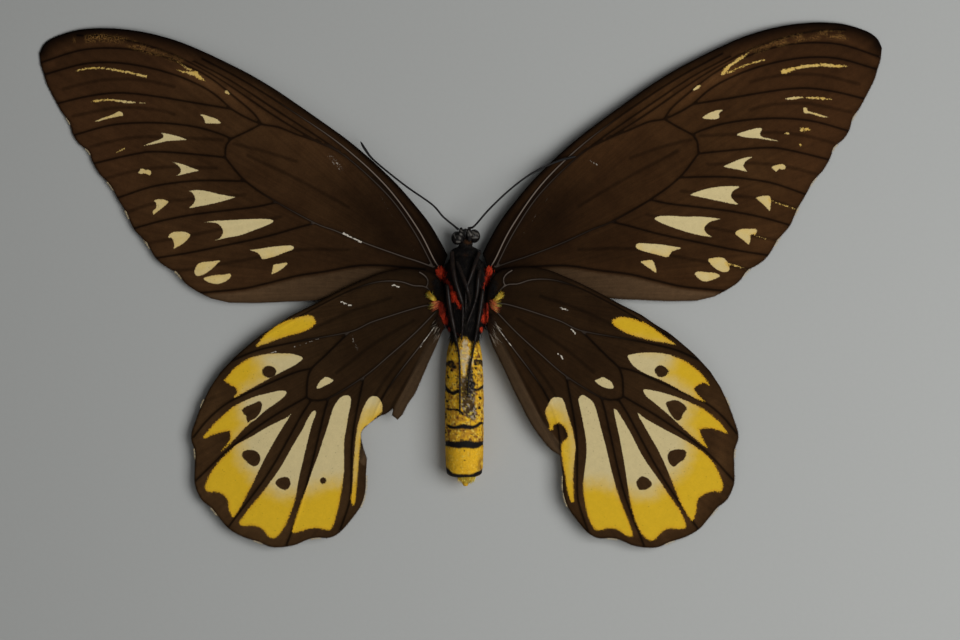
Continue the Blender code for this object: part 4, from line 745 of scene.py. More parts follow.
def placed(points: Line, matrix: Any, pins: tuple[Line, Line] | None = None) -> Points:
    """Points taken to their own wing.

    Args:
        points: rows of x and y as drawn on the right wing.
        matrix: the two rows of the affine map.
        pins: landmarks as drawn and on this wing, which pull what lies near them.

    Returns:
        Rows of x and y.
    """
    rows = np.array(points, float)
    plan = np.array(matrix)
    moved = rows @ plan[:, :2].T + plan[:, 2]
    if pins is None:
        return moved
    drawn = np.array(pins[0], float)
    pull = np.array(pins[1], float) - (drawn @ plan[:, :2].T + plan[:, 2])
    away = np.linalg.norm(rows[:, None] - drawn[None], axis=2)
    weight = np.exp(-(away / 9.0) ** 2)
    return moved + (weight @ pull) / (weight.sum(axis=1, keepdims=True) + 0.35)


def wing_height(x: Points, lift: Points | float) -> Points:
    """Height of the middle of a wing, drooping from the root to the tip."""
    share = np.clip((np.abs(x) - WING_ROOT_X) / (WING_TIP_X - WING_ROOT_X), 0.0, 1.0)
    return WING_ROOT_Z + (WING_TIP_Z - WING_ROOT_Z) * share ** 1.15 + lift


def hind_lift(y: Points) -> Points:
    """How far the hindwing lies above the sheet of the forewings."""
    return HIND_LIFT_BACK + (HIND_LIFT_FRONT - HIND_LIFT_BACK) * ramp(y, -34.0, -10.0)


def triangle_mesh(name: str, points: Points, triangles: Points, uv: Points | None = None,
                  smooth: bool = True) -> bpy.types.Mesh:
    """A mesh from arrays.

    Args:
        name: the mesh's name.
        points: rows of x, y and z in millimetres.
        triangles: rows of three indices.
        uv: a row of u and v for each corner of each triangle, or None.
        smooth: whether faces are shaded smooth.

    Returns:
        The mesh, in metres.
    """
    mesh = bpy.data.meshes.new(name)
    mesh.vertices.add(len(points))
    mesh.vertices.foreach_set("co", (points * MM).astype(np.float32).ravel())
    mesh.loops.add(3 * len(triangles))
    mesh.loops.foreach_set("vertex_index", triangles.astype(np.int32).ravel())
    mesh.polygons.add(len(triangles))
    mesh.polygons.foreach_set("loop_start", np.arange(0, 3 * len(triangles), 3, dtype=np.int32))
    mesh.update(calc_edges=True)
    mesh.polygons.foreach_set("use_smooth", np.full(len(triangles), smooth))
    if uv is not None:
        layer = mesh.uv_layers.new(name="OFBake")
        layer.data.foreach_set("uv", uv.astype(np.float32).ravel())
    mesh.validate()
    return mesh


def store(mesh: bpy.types.Mesh, name: str, values: Points) -> None:
    """Keeps a number, or a colour, for each point of a mesh."""
    if values.ndim == 1:
        layer = mesh.attributes.new(name, "FLOAT", "POINT")
        layer.data.foreach_set("value", values.astype(np.float32))
        return
    layer = mesh.attributes.new(name, "FLOAT_COLOR", "POINT")
    full = np.column_stack([values, np.ones(len(values))])
    layer.data.foreach_set("color", full.astype(np.float32).ravel())


def surface_of(objects: Sequence[bpy.types.Object]) -> BVHTree:
    """A search tree over the faces of some objects."""
    points: list[Vector] = []
    faces: list[tuple[int, ...]] = []
    for obj in objects:
        base = len(points)
        points += [vertex.co.copy() for vertex in obj.data.vertices]
        faces += [tuple(base + index for index in polygon.vertices) for polygon in obj.data.polygons]
    return BVHTree.FromPolygons(points, faces)


def drop(tree: BVHTree, rows: Points, height: float = 60.0) -> Points:
    """Height of the first face under each row of x and y, or nan."""
    found = np.full(len(rows), np.nan)
    for k, (x, y) in enumerate(rows[:, :2]):
        hit = tree.ray_cast(Vector((x, y, height)) * MM, Vector((0.0, 0.0, -1.0)))
        if hit[0] is not None:
            found[k] = hit[0].z / MM
    return found


def linked(name: str, data: Any) -> bpy.types.Object:
    """A new object in the scene."""
    made = bpy.data.objects.new(name, data)
    bpy.context.scene.collection.objects.link(made)
    return made


def dressed(mesh: bpy.types.Mesh, finish: bpy.types.Material, slot: str,
            nodes: Sequence[str] = ()) -> bpy.types.Object:
    """Makes a mesh a piece of the specimen.

    Args:
        mesh: the finished mesh, whose name the piece takes.
        finish: its material.
        slot: not used.
        nodes: the solids it stands for.

    Returns:
        The object, riding on the body.
    """
    piece = linked(mesh.name, mesh)
    mesh.materials.clear()
    mesh.materials.append(finish)
    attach(piece, "root")
    if nodes:
        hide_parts(*nodes)
    LOG.info("%s: %d faces", piece.name, len(mesh.polygons))
    return piece


class Graph:
    """A node tree while it is being wired."""

    def __init__(self, tree: bpy.types.NodeTree) -> None:
        """Takes the tree to fill."""
        self.tree = tree

    def add(self, kind: str, values: dict[Any, Any] | None = None, **settings: Any) -> bpy.types.Node:
        """Adds a node.

        Args:
            kind: the node's type.
            values: a socket or a plain value for inputs, by name or index.
            settings: the node's own properties.

        Returns:
            The node.
        """
        node = self.tree.nodes.new(kind)
        for key, value in settings.items():
            setattr(node, key, value)
        for key, value in (values or {}).items():
            if isinstance(value, bpy.types.NodeSocket):
                self.tree.links.new(value, node.inputs[key])
            else:
                node.inputs[key].default_value = value
        return node

    def math(self, operation: str, *values: Any) -> bpy.types.NodeSocket:
        """The result of a Math node."""
        return self.add("ShaderNodeMath", dict(enumerate(values)), operation=operation).outputs[0]

    def plus(self, first: Any, second: Any) -> bpy.types.NodeSocket:
        """The sum of two values."""
        return self.math("ADD", first, second)

    def minus(self, first: Any, second: Any) -> bpy.types.NodeSocket:
        """The first value less the second."""
        return self.math("SUBTRACT", first, second)

    def times(self, *values: Any) -> bpy.types.NodeSocket:
        """The product of two or more values."""
        product = values[0]
        for value in values[1:]:
            product = self.math("MULTIPLY", product, value)
        return product

    def step(self, value: Any, low: float, high: float, start: float = 0.0,
             end: float = 1.0) -> bpy.types.NodeSocket:
        """A value mapped smoothly from low and high to start and end."""
        made = self.add("ShaderNodeMapRange", {"Value": value, "From Min": low, "From Max": high,
                                               "To Min": start, "To Max": end},
                        interpolation_type="SMOOTHSTEP")
        return made.outputs["Result"]

    def mix(self, share: Any, first: Any, second: Any, blend: str = "MIX") -> bpy.types.NodeSocket:
        """A mix of two colours."""
        values = {0: share, 6: as_colour(first), 7: as_colour(second)}
        return self.add("ShaderNodeMix", values, data_type="RGBA", blend_type=blend).outputs[2]

    def grey(self, value: bpy.types.NodeSocket) -> bpy.types.NodeSocket:
        """A number as a grey."""
        return self.add("ShaderNodeCombineColor", {0: value, 1: value, 2: value}).outputs[0]

    def group(self, tree: bpy.types.NodeTree, **values: float) -> bpy.types.Node:
        """A node that runs a shared group with these inputs."""
        node = self.tree.nodes.new("ShaderNodeGroup")
        node.node_tree = tree
        for key, value in values.items():
            node.inputs[key].default_value = value
        return node

    def attribute(self, name: str, output: str = "Fac") -> bpy.types.NodeSocket:
        """What the mesh keeps under a name."""
        return self.add("ShaderNodeAttribute", attribute_name=name).outputs[output]

    def noise(self, place: Any, scale: float, detail: float = 2.0) -> bpy.types.NodeSocket:
        """A noise from 0 to 1."""
        values = {"Vector": place, "Scale": scale, "Detail": detail}
        return self.add("ShaderNodeTexNoise", values).outputs["Fac"]

    def object_place(self) -> bpy.types.NodeSocket:
        """The place on the object, in metres."""
        return self.add("ShaderNodeTexCoord").outputs["Object"]


def as_colour(value: Any) -> Any:
    """A socket as it is, and a colour with its fourth number."""
    if isinstance(value, Tint):
        value = value.value
    if isinstance(value, tuple) and len(value) == 3:
        return (*value, 1.0)
    return value


def shader_group(name: str, inputs: dict[str, float], outputs: Sequence[str],
                 wire: Callable[[Graph, bpy.types.Node, bpy.types.Node], None]) -> bpy.types.NodeTree:
    """A shader node group.

    Args:
        name: the group's name.
        inputs: its number inputs and their defaults.
        outputs: its number outputs.
        wire: fills the group between its input and output nodes.

    Returns:
        The group's tree.
    """
    tree = bpy.data.node_groups.new(name, "ShaderNodeTree")
    for key, value in inputs.items():
        socket = tree.interface.new_socket(key, in_out="INPUT", socket_type="NodeSocketFloat")
        socket.default_value = value
    for key in outputs:
        tree.interface.new_socket(key, in_out="OUTPUT", socket_type="NodeSocketFloat")
    graph = Graph(tree)
    wire(graph, graph.add("NodeGroupInput"), graph.add("NodeGroupOutput"))
    return tree


def wire_grain(graph: Graph, source: bpy.types.Node, sink: bpy.types.Node) -> None:
    """Fills the group that gives the grain of overlapping scales or of horn."""
    place = graph.object_place()
    fine = graph.add("ShaderNodeTexVoronoi", {"Vector": place, "Scale": source.outputs["Fine"]})
    cells = graph.add("ShaderNodeSeparateColor", {0: fine.outputs["Color"]}).outputs[0]
    broad = graph.add("ShaderNodeTexNoise", {"Vector": place, "Scale": source.outputs["Broad"],
                                             "Detail": 3.0}).outputs["Fac"]
    both = graph.plus(graph.times(cells, 0.5), graph.times(broad, 0.9))
    spread = graph.times(graph.minus(both, 0.7), source.outputs["Contrast"])
    links = graph.tree.links
    links.new(graph.plus(1.0, spread), sink.inputs["Shade"])
    links.new(graph.minus(1.0, fine.outputs["Distance"]), sink.inputs["Height"])
    links.new(cells, sink.inputs["Cell"])


def wire_dust(graph: Graph, source: bpy.types.Node, sink: bpy.types.Node) -> None:
    """Fills the group that scatters loose specks of scales."""
    place = graph.object_place()
    cells = graph.add("ShaderNodeTexVoronoi", {"Vector": place, "Scale": source.outputs["Scale"]})
    dots = graph.step(graph.math("DIVIDE", cells.outputs["Distance"], source.outputs["Size"]), 1.0, 0.35)
    chance = graph.add("ShaderNodeSeparateColor", {0: cells.outputs["Color"]}).outputs[1]
    kept = graph.math("LESS_THAN", chance, source.outputs["Amount"])
    graph.tree.links.new(graph.times(dots, kept), sink.inputs["Mask"])


class Groups:
    """The effects that several materials share."""

    def __init__(self) -> None:
        """Builds each group once."""
        self.grain = shader_group("grain", {"Fine": 8000.0, "Broad": 900.0, "Contrast": 0.4},
                                  ("Shade", "Height", "Cell"), wire_grain)
        self.dust = shader_group("dust", {"Scale": 3000.0, "Amount": 0.1, "Size": 0.34}, ("Mask",),
                                 wire_dust)


@dataclass(frozen=True)
class Finish:
    """What every finish shares."""

    name: str
    roughness: float = 0.6
    shine: float = 0.5

    def start(self) -> tuple[bpy.types.Material, Graph, bpy.types.Node]:
        """A new material, its graph and its shader."""
        made = bpy.data.materials.new(self.name)
        made.use_nodes = True
        graph = Graph(made.node_tree)
        shader = made.node_tree.nodes["Principled BSDF"]
        shader.inputs["Roughness"].default_value = self.roughness
        shader.inputs["Specular IOR Level"].default_value = self.shine
        return made, graph, shader

    def bump(self, graph: Graph, shader: bpy.types.Node, height: bpy.types.NodeSocket,
             distance: float, strength: float = 1.0) -> None:
        """Raises the surface by a height of up to a distance in metres."""
        made = graph.add("ShaderNodeBump", {"Height": height, "Distance": distance, "Strength": strength})
        graph.tree.links.new(made.outputs["Normal"], shader.inputs["Normal"])


@dataclass(frozen=True)
class WingFinish(Finish):
    """Scaled wing membrane, with its markings read from the mesh."""

    deep: tuple[float, float, float] = (0.036, 0.0155, 0.0058)
    warm: tuple[float, float, float] = (0.056, 0.0255, 0.0098)
    pale: tuple[float, float, float] = (0.105, 0.062, 0.031)
    cream: tuple[float, float, float] = (0.76, 0.62, 0.315)
    golden: tuple[float, float, float] = (0.83, 0.518, 0.0245)
    orange: tuple[float, float, float] = (0.62, 0.28, 0.02)
    rust: tuple[float, float, float] = (0.050, 0.0212, 0.0083)
    core: tuple[float, float, float] = (0.25, 0.195, 0.155)
    speckle: tuple[float, float, float] = (0.40, 0.205, 0.055)
    bared: tuple[float, float, float] = (0.68, 0.62, 0.52)
    gold_blend: float = 3.8

    def toned(self, name: str, hue: tuple[float, float, float], pallor: float) -> "WingFinish":
        """The same finish with its browns, its cream and its gold shifted."""
        deep, warm, rust = (tuple(a * b for a, b in zip(colour, hue))
                            for colour in (self.deep, self.warm, self.rust))
        cream, golden = (tuple(pallor * value for value in colour) for colour in (self.cream, self.golden))
        return replace(self, name=name, deep=deep, warm=warm, rust=rust, cream=cream, golden=golden)

    def material(self, groups: Groups) -> bpy.types.Material:
        """Wires the material.

        Args:
            groups: the shared effects.

        Returns:
            The material.
        """
        made, graph, shader = self.start()
        place = graph.object_place()
        scales = graph.group(groups.grain, Fine=6500.0, Broad=650.0, Contrast=0.52)
        shade = scales.outputs["Shade"]
        # Brown ground, darker along veins, folds and margin
        cloud = graph.noise(place, 110.0, 3.0)
        brown = graph.mix(graph.step(cloud, 0.15, 0.85), self.deep, self.warm)
        brown = graph.mix(graph.step(graph.attribute("zone"), 0.0, 1.0), brown, self.pale)
        brown = graph.mix(graph.step(graph.attribute("zone"), 0.0, -1.0), brown, self.rust)
        # Dark flanks of the veins and the dark folds: partly dark scales, partly painted shade of the vein
        # ridges and fold creases.
        vein = graph.times(graph.step(graph.attribute("vein"), 0.1, 0.42, 0.30, 1.0),
                          graph.step(graph.attribute("vein"), 0.15, 1.05, 0.76, 1.0))
        fold = graph.step(graph.attribute("fold"), 0.05, 0.8, 0.58, 1.0)
        rim = graph.step(graph.attribute("edge"), 0.0, 0.9, 0.66, 1.0)
        darks = graph.times(vein, fold, rim, graph.attribute("shade"), shade, self.rays(graph, place))
        ground = graph.mix(1.0, brown, graph.grey(darks), "MULTIPLY")
        # Pale crests on the veins near the root: bared veins, and painted highlight.
        crest = graph.step(graph.attribute("vein"), 0.06, 0.21, 1.0, 0.0)
        ground = graph.mix(graph.times(crest, graph.attribute("core")), ground, self.core)
        # Marks that pass from cream to gold, with dark spots and loose specks
        drift = graph.times(graph.minus(graph.noise(place, 420.0, 3.0), 0.5), 3.3)
        golden = graph.step(graph.plus(graph.attribute("gilt"), drift), -self.gold_blend,
                            self.gold_blend)
        wander = graph.minus(graph.noise(place, 4300.0, 1.0), 0.5)
        jitter = graph.times(wander, graph.step(golden, 0.1, 0.8, 0.42, 1.25))
        cream_edge = graph.plus(graph.attribute("cream"), jitter)
        spot_edge = graph.plus(graph.attribute("spot"), jitter)
        cream = graph.step(cream_edge, -0.03, 0.16)
        clear = graph.step(spot_edge, -0.10, 0.12, 1.0, 0.0)
        cream = graph.times(cream, clear)
        mark = graph.mix(golden, self.cream, self.golden)
        flush = graph.times(graph.step(cream_edge, 0.9, 0.0), graph.times(golden, 0.5))
        mark = graph.mix(flush, mark, self.orange)
        light = graph.plus(graph.times(graph.minus(shade, 1.0), 0.35), 1.0)
        mark = graph.mix(1.0, mark, graph.grey(light), "MULTIPLY")
        specks = graph.group(groups.dust, Scale=2200.0, Amount=0.05, Size=0.34)
        mark = graph.mix(graph.times(specks.outputs["Mask"], 0.55), mark, self.deep)
        colour = graph.mix(cream, ground, mark)
        # Scattered golden scales and rubbed places
        gold_dust = graph.group(groups.dust, Scale=4400.0, Amount=0.75, Size=0.7)
        gilt = graph.times(gold_dust.outputs["Mask"], graph.attribute("dust"))
        colour = graph.mix(graph.times(gilt, 0.85), colour, self.speckle)
        frayed = graph.times(graph.noise(place, 2600.0, 2.0), 1.9)
        bare = graph.step(graph.times(graph.attribute("wear"), frayed), 0.42, 0.72)
        colour = graph.mix(bare, colour, self.bared)
        graph.tree.links.new(colour, shader.inputs["Base Color"])
        self.bump(graph, shader, scales.outputs["Height"], 0.00003, 0.5)
        return made

    @staticmethod
    def rays(graph: Graph, place: bpy.types.NodeSocket) -> bpy.types.NodeSocket:
        """Faint streaks that fan out from the wing's root, about 1."""
        parts = graph.add("ShaderNodeSeparateXYZ", {0: place}).outputs
        side = graph.math("ABSOLUTE", parts[0])
        bearing = graph.math("ARCTAN2", parts[1], side)
        ray = graph.add("ShaderNodeCombineXYZ", {0: graph.times(bearing, 75.0),
                                                 1: graph.times(side, 45.0)}).outputs[0]
        return graph.plus(graph.times(graph.noise(ray, 1.0, 3.0), 0.7), 0.65)


@dataclass(frozen=True)
class TintFinish(Finish):
    """Skin or hair whose colour the mesh keeps, with grain over it."""

    fine: float = 9000.0
    broad: float = 1200.0
    contrast: float = 0.5
    relief: float = 0.00003

    def material(self, groups: Groups) -> bpy.types.Material:
        """Wires the material.

        Args:
            groups: the shared effects.

        Returns:
            The material.
        """
        made, graph, shader = self.start()
        grain = graph.group(groups.grain, Fine=self.fine, Broad=self.broad, Contrast=self.contrast)
        shade = grain.outputs["Shade"]
        colour = graph.mix(1.0, graph.attribute("tint", "Color"), graph.grey(shade), "MULTIPLY")
        graph.tree.links.new(colour, shader.inputs["Base Color"])
        rough = graph.times(shade, self.roughness)
        graph.tree.links.new(rough, shader.inputs["Roughness"])
        self.bump(graph, shader, grain.outputs["Height"], self.relief, 0.6)
        return made


@dataclass(frozen=True)
class HornFinish(Finish):
    """Hard, glossy skin of legs, feelers and eyes."""

    deep: tuple[float, float, float] = (0.006, 0.0055, 0.006)
    warm: tuple[float, float, float] = (0.03, 0.018, 0.012)
    fine: float = 9000.0
    relief: float = 0.00002

    def material(self, groups: Groups) -> bpy.types.Material:
        """Wires the material.

        Args:
            groups: the shared effects.

        Returns:
            The material.
        """
        made, graph, shader = self.start()
        grain = graph.group(groups.grain, Fine=self.fine, Broad=1400.0, Contrast=0.5)
        share = graph.step(grain.outputs["Shade"], 0.85, 1.25)
        graph.tree.links.new(graph.mix(share, self.deep, self.warm), shader.inputs["Base Color"])
        rough = graph.step(grain.outputs["Shade"], 0.7, 1.3, 0.8 * self.roughness, 1.25 * self.roughness)
        graph.tree.links.new(rough, shader.inputs["Roughness"])
        self.bump(graph, shader, grain.outputs["Height"], self.relief, 0.4)
        return made


@dataclass(frozen=True)
class FloorFinish(Finish):
    """Plain pale board."""

    colour: tuple[float, float, float] = (0.50, 0.51, 0.495)

    def material(self, groups: Groups) -> bpy.types.Material:
        """Wires the material.

        Args:
            groups: not used.

        Returns:
            The material.
        """
        made, graph, shader = self.start()
        fleck = graph.noise(graph.object_place(), 900.0, 3.0)
        cloud = graph.noise(graph.object_place(), 9.0, 2.0)
        mixed = graph.plus(graph.times(fleck, 0.5), graph.times(cloud, 0.5))
        darker = tuple(0.93 * value for value in self.colour)
        graph.tree.links.new(graph.mix(mixed, darker, self.colour), shader.inputs["Base Color"])
        self.bump(graph, shader, fleck, 0.00002, 0.3)
        return made


def loft(path: Points, radii: Points, sides: int) -> tuple[Points, Points]:
    """A closed round rod along a path.

    Args:
        path: rows of x, y and z.
        radii: one radius a row.
        sides: points round the rod.

    Returns:
        Points and triangles.
    """
    ahead = unit(np.gradient(path, axis=0))
    side = np.cross(ahead[0], (0.0, 0.0, 1.0) if abs(ahead[0][2]) < 0.9 else (1.0, 0.0, 0.0))
    sides_of = []
    for row in ahead:
        side = side - row * (side @ row)
        side = side / np.linalg.norm(side)
        sides_of.append(side)
    across = np.array(sides_of)
    above = np.cross(ahead, across)
    turn = 2.0 * np.pi * np.arange(sides) / sides
    ring = np.cos(turn)[None, :, None] * across[:, None] + np.sin(turn)[None, :, None] * above[:, None]
    points = (path[:, None] + radii[:, None, None] * ring).reshape(-1, 3)
    return np.vstack([points, path[:1], path[-1:]]), tube_faces(len(path), sides)


def tube_faces(rows: int, sides: int) -> Points:
    """Triangles over rings of points, closed by fans to two last points.

    Args:
        rows: how many rings.
        sides: points in a ring.

    Returns:
        Rows of three indices.
    """
    row = np.arange(rows - 1)[:, None] * sides
    here = np.arange(sides)
    after = (here + 1) % sides
    a, b, c, d = row + here, row + after, row + sides + after, row + sides + here
    first, last = np.full(sides, rows * sides), (rows - 1) * sides
    return np.concatenate([
        np.stack([a, b, c], -1).reshape(-1, 3), np.stack([a, c, d], -1).reshape(-1, 3),
        np.stack([first, after, here], -1), np.stack([first + 1, last + here, last + after], -1)])


def joined(parts: Sequence[tuple[Points, Points]]) -> tuple[Points, Points]:
    """Several shapes as one list of points and triangles."""
    points, faces, base = [], [], 0
    for some, triangles in parts:
        points.append(some)
        faces.append(triangles + base)
        base += len(some)
    return np.vstack(points), np.vstack(faces)


@dataclass
class Hairs:
    """Hair as thin solid spikes, each bending from its root to its tip."""

    roots: Points
    lean: Points
    up: Points
    length: Points
    width: Points
    tint: Points
    uv: Points
    lift: float = 0.35
    rings: int = 2

    def shape(self) -> tuple[Points, Points, int]:
        """Points and triangles of every hair, and the triangles of one."""
        count = len(self.roots)
        across = unit(np.cross(self.up, self.lean))
        shares = np.linspace(0.0, 1.0, self.rings + 1)
        corners = 2.0 * np.pi * np.arange(3) / 3.0
        rows = []
        for share in shares[:-1]:
            rise = self.lift * (share - 0.55 * share * share)
            middle = self.roots + self.length[:, None] * (self.lean * share + self.up * rise)
            radius = 0.5 * self.width * (1.0 - 0.75 * share)
            for corner in corners:
                out = across * math.cos(corner) + self.up * math.sin(corner)
                rows.append(middle + radius[:, None] * out)
        rise = self.lift * 0.45
        rows.append(self.roots + self.length[:, None] * (self.lean + self.up * rise))
        points = np.stack(rows, axis=1)
        per = points.shape[1]
        faces = [(0, 2, 1)]
        for ring in range(self.rings - 1):
            for k in range(3):
                a, b = 3 * ring + k, 3 * ring + (k + 1) % 3
                faces += [(a, b, b + 3), (a, b + 3, a + 3)]
        top = 3 * (self.rings - 1)
        faces += [(top + k, top + (k + 1) % 3, per - 1) for k in range(3)]
        one = np.array(faces)
        triangles = (one[None] + per * np.arange(count)[:, None, None]).reshape(-1, 3)
        return points.reshape(-1, 3), triangles, len(one)

    def mesh(self, name: str) -> bpy.types.Mesh:
        """One mesh of all the hairs."""
        points, triangles, each = self.shape()
        patch = np.array([[0.0, 0.0], [0.003, 0.0], [0.0015, 0.003]])
        uv = (self.uv[:, None, None] + patch[None, None]).repeat(each, axis=1)
        mesh = triangle_mesh(name, points, triangles, uv.reshape(-1, 2))
        store(mesh, "tint", self.tint.repeat(len(points) // len(self.roots), axis=0))
        return mesh


@dataclass(frozen=True)
class WingPlan:
    """Everything that makes one wing differ from the others."""

    name: str
    slot: str
    outline: Any
    veins: dict[str, Line]
    folds: dict[str, Line]
    marks: dict[str, Line]
    spots: dict[str, Line]
    placing: Any
    pins: Any
    dusted: Line
    tears: Line
    crests: tuple[tuple[str, float, float], ...]
    seed: int
    hue: tuple[float, float, float]
    pallor: float
    # How strongly painted shadow darkens the front edge and margin; only the right hindwing has it.
    shadow: float = 0.0

    @property
    def hind(self) -> bool:
        """Whether this is a hindwing."""
        return self.slot == "hindwing"


class Wing:
    """A wing as a fine sheet with relief, markings and a fringe."""

    def __init__(self, plan: WingPlan) -> None:
        """Lays out the wing's lines."""
        self.plan = plan
        self.rng = np.random.default_rng(plan.seed)
        edge = []
        for part in plan.outline:
            row = smooth_line(part, spacing=OUTLINE_STEP) if len(part) > 2 else np.array(part, float)
            edge.append(row)
        self.costa = placed(edge[0], plan.placing)
        self.outline = placed(np.vstack(edge), plan.placing)
        if self.turn() < 0:
            self.outline = self.outline[::-1]
        self.border = np.vstack([self.outline, self.outline[:1]])
        self.veins = {key: placed(smooth_line(row, spacing=RAIL_STEP), plan.placing, plan.pins)
                      for key, row in plan.veins.items()}
        self.folds = [placed(smooth_line(row, spacing=2.0), plan.placing, plan.pins)
                      for row in plan.folds.values()]

    def turn(self) -> float:
        """Twice the signed area of the outline."""
        x, y = self.outline.T
        return float(np.sum(x * np.roll(y, -1) - y * np.roll(x, -1)))

    def rails(self) -> tuple[list[tuple[float, float]], list[tuple[int, int]]]:
        """Points along each vein's ridge and feet, and the edges along the ridges."""
        points: list[tuple[float, float]] = []
        edges: list[tuple[int, int]] = []
        start = len(self.outline)
        for key, line in self.veins.items():
            others = [thinned(row, 3) for name, row in self.veins.items() if name != key]
            ahead = np.gradient(line, axis=0)
            across = unit(np.stack([-ahead[:, 1], ahead[:, 0]], axis=1))
            for side in RAIL_OFFSETS:
                row = line + side * across
                keep = inside(row, self.outline) & (line_distance(row, self.border, 3.0) > 0.25)
                if side:
                    near = np.min([line_distance(row, other, 3.0) for other in others], axis=0)
                    keep &= near > abs(side) + 0.2
                for index, held in enumerate(keep):
                    if not held:
                        continue
                    points.append(tuple(row[index]))
                    if side == 0.0 and index and keep[index - 1]:
                        last = start + len(points) - 1
                        edges.append((last - 1, last))
        return points, edges

    def sheet(self) -> tuple[Points, Points]:
        """The wing's plan as points and triangles."""
        step = GRID_STEP
        low, high = self.outline.min(axis=0), self.outline.max(axis=0)
        xs = np.arange(low[0], high[0], step)
        ys = np.arange(low[1], high[1], 0.87 * step)
        grid = np.stack(np.meshgrid(xs, ys), axis=-1)
        grid[1::2, :, 0] += 0.5 * step
        grid = grid.reshape(-1, 2)
        grid = grid[inside(grid, self.outline)]
        grid = grid[line_distance(grid, self.border, 2.0) > 0.55 * step]
        for line in self.veins.values():
            grid = grid[line_distance(grid, thinned(line, 2), 2.0) > 0.62 + 0.4 * step]
        grid = grid + self.rng.uniform(-0.03, 0.03, grid.shape)
        rails, edges = self.rails()
        known = KDTree(len(rails) + len(grid))
        for index, row in enumerate((*rails, *grid)):
            known.insert((*row, 0.0), index)
        known.balance()
        close = [row for row in self.seams(low, high) if known.find((*row, 0.0))[2] > 0.12]
        points = [Vector(row) for row in (*self.outline, *rails, *grid, *close)]
        flat = delaunay_2d_cdt(points, edges, [list(range(len(self.outline)))], 1, 1e-6)
        rows = np.array([tuple(point) for point in flat[0]])
        faces = np.array([face for face in flat[2] if len(face) == 3])
        used = np.unique(faces)
        renumbered = np.zeros(len(rows), int)
        renumbered[used] = np.arange(len(used))
        return rows[used], renumbered[faces]

    def seams(self, low: Points, high: Points) -> Points:
        """Closely set points along the edges of the wing's marks."""
        step = SEAM_STEP * 1.0
        xs, ys = np.arange(low[0], high[0], step), np.arange(low[1], high[1], step)
        fine = np.stack(np.meshgrid(xs, ys), axis=-1).reshape(-1, 2)
        depth = np.abs(depth_inside(fine, self.plan.marks, 1.0))
        if self.plan.spots:
            depth = np.minimum(depth, np.abs(depth_inside(fine, self.plan.spots, 1.0)))
        fine = fine[depth < SEAM_REACH]
        fine = fine[inside(fine, self.outline)]
        fine = fine[line_distance(fine, self.border, 2.0) > 0.2]
        return fine + self.rng.uniform(-0.02, 0.02, fine.shape)

    def middle(self, rows: Points) -> Points:
        """Height of the middle of the wing at rows of x and y."""
        lift = hind_lift(rows[:, 1]) if self.plan.hind else 0.0
        return wing_height(rows[:, 0], lift)

    def fields(self, rows: Points) -> dict[str, Points]:
        """The numbers that the wing's material reads at each point."""
        plan = self.plan
        vein = np.min([line_distance(rows, thinned(line, 2), 2.0) for line in self.veins.values()], axis=0)
        fold = np.min([line_distance(rows, line, 2.0) for line in self.folds], axis=0)
        edge = line_distance(rows, self.border, 25.0)
        costa = line_distance(rows, self.costa[::4], 20.0)
        base = np.linalg.norm(rows, axis=1)
        # Pale crests of the veins near the root: bared veins, and painted highlight.
        core = np.zeros(len(rows))
        for key, strength, reach in plan.crests:
            away = line_distance(rows, self.veins[key], 2.0)
            along = strength * ramp(base, 8.0, 11.5) * fade(base, 0.45 * reach, reach)
            core = np.maximum(core, along * fade(away, 0.45, 0.7))
        wear = np.zeros(len(rows))
        for x1, y1, x2, y2, width, strength in SCUFFS[plan.name]:
            away = line_distance(rows, np.array([(x1, y1), (x2, y2)]), 3.0)
            wear = np.maximum(wear, strength * fade(away, 0.3 * width, width))
        dust = np.zeros(len(rows))
        if plan.dusted:
            away = line_distance(rows, np.array(plan.dusted), 4.0)
            dust = fade(away, 0.2, 1.5) * (0.35 + 0.65 * ramp(np.abs(rows[:, 0]), 77.0, 88.0))
            dust *= ramp(mottle(rows, (2.2, 0.9), 3), 0.15, 0.6)
        frayed = {key: mark for key, mark in plan.marks.items() if key in FRAYED_MARKS}
        firm = {key: mark for key, mark in plan.marks.items() if key not in FRAYED_MARKS}
        loose = depth_inside(rows, frayed) - 0.06 - 0.35 * (mottle(rows, 0.4, plan.seed) - 0.5)
        cream = np.maximum(depth_inside(rows, firm), loose)
        gilt = self.gilt(rows, edge, loose)
        return {"vein": vein, "fold": fold, "edge": edge, "core": core, "wear": wear, "dust": dust,
                "cream": cream, "spot": depth_inside(rows, plan.spots), "gilt": gilt,
                "shade": self.shade(costa, base, edge), "zone": self.zone(rows, base)}

    def gilt(self, rows: Points, edge: Points, loose: Points) -> Points:
        """How far inside the golden part of the wing each point lies."""
        if self.plan.hind:
            return depth_inside(rows, {"gilt": placed(HIND_GILT, self.plan.placing)}, 5.0)
        return -3.8 + 2.35 * fade(edge, 10.0, 20.0) + 1.5 * ramp(loose, -0.6, -0.3)

    def shade(self, costa: Points, base: Points, edge: Points) -> Points:
        """Ground colour's brightness: dark at the root and front edge, with painted shade near some edges.
        """
        if self.plan.hind:
            front = np.interp(costa, *HIND_FRONT)
            for strength, reach, width in HIND_STREAKS:
                front *= 1.0 + strength * band(base, *reach) * band(costa, *width)
            # Painted shadow along the right hindwing's front edge and margin.
            near_front = np.interp(costa, *HIND_SHADOW_FRONT)
            shadow = np.where(costa < 8.0, near_front, np.interp(edge, *HIND_SHADOW_EDGE))
            front *= 1.0 - self.plan.shadow * shadow
            return np.interp(base, *HIND_GROUND) * front * (1.0 + 0.15 * band(edge, 1.5, 2.5, 4.0, 7.0))
        front = np.interp(costa, *FORE_FRONT)
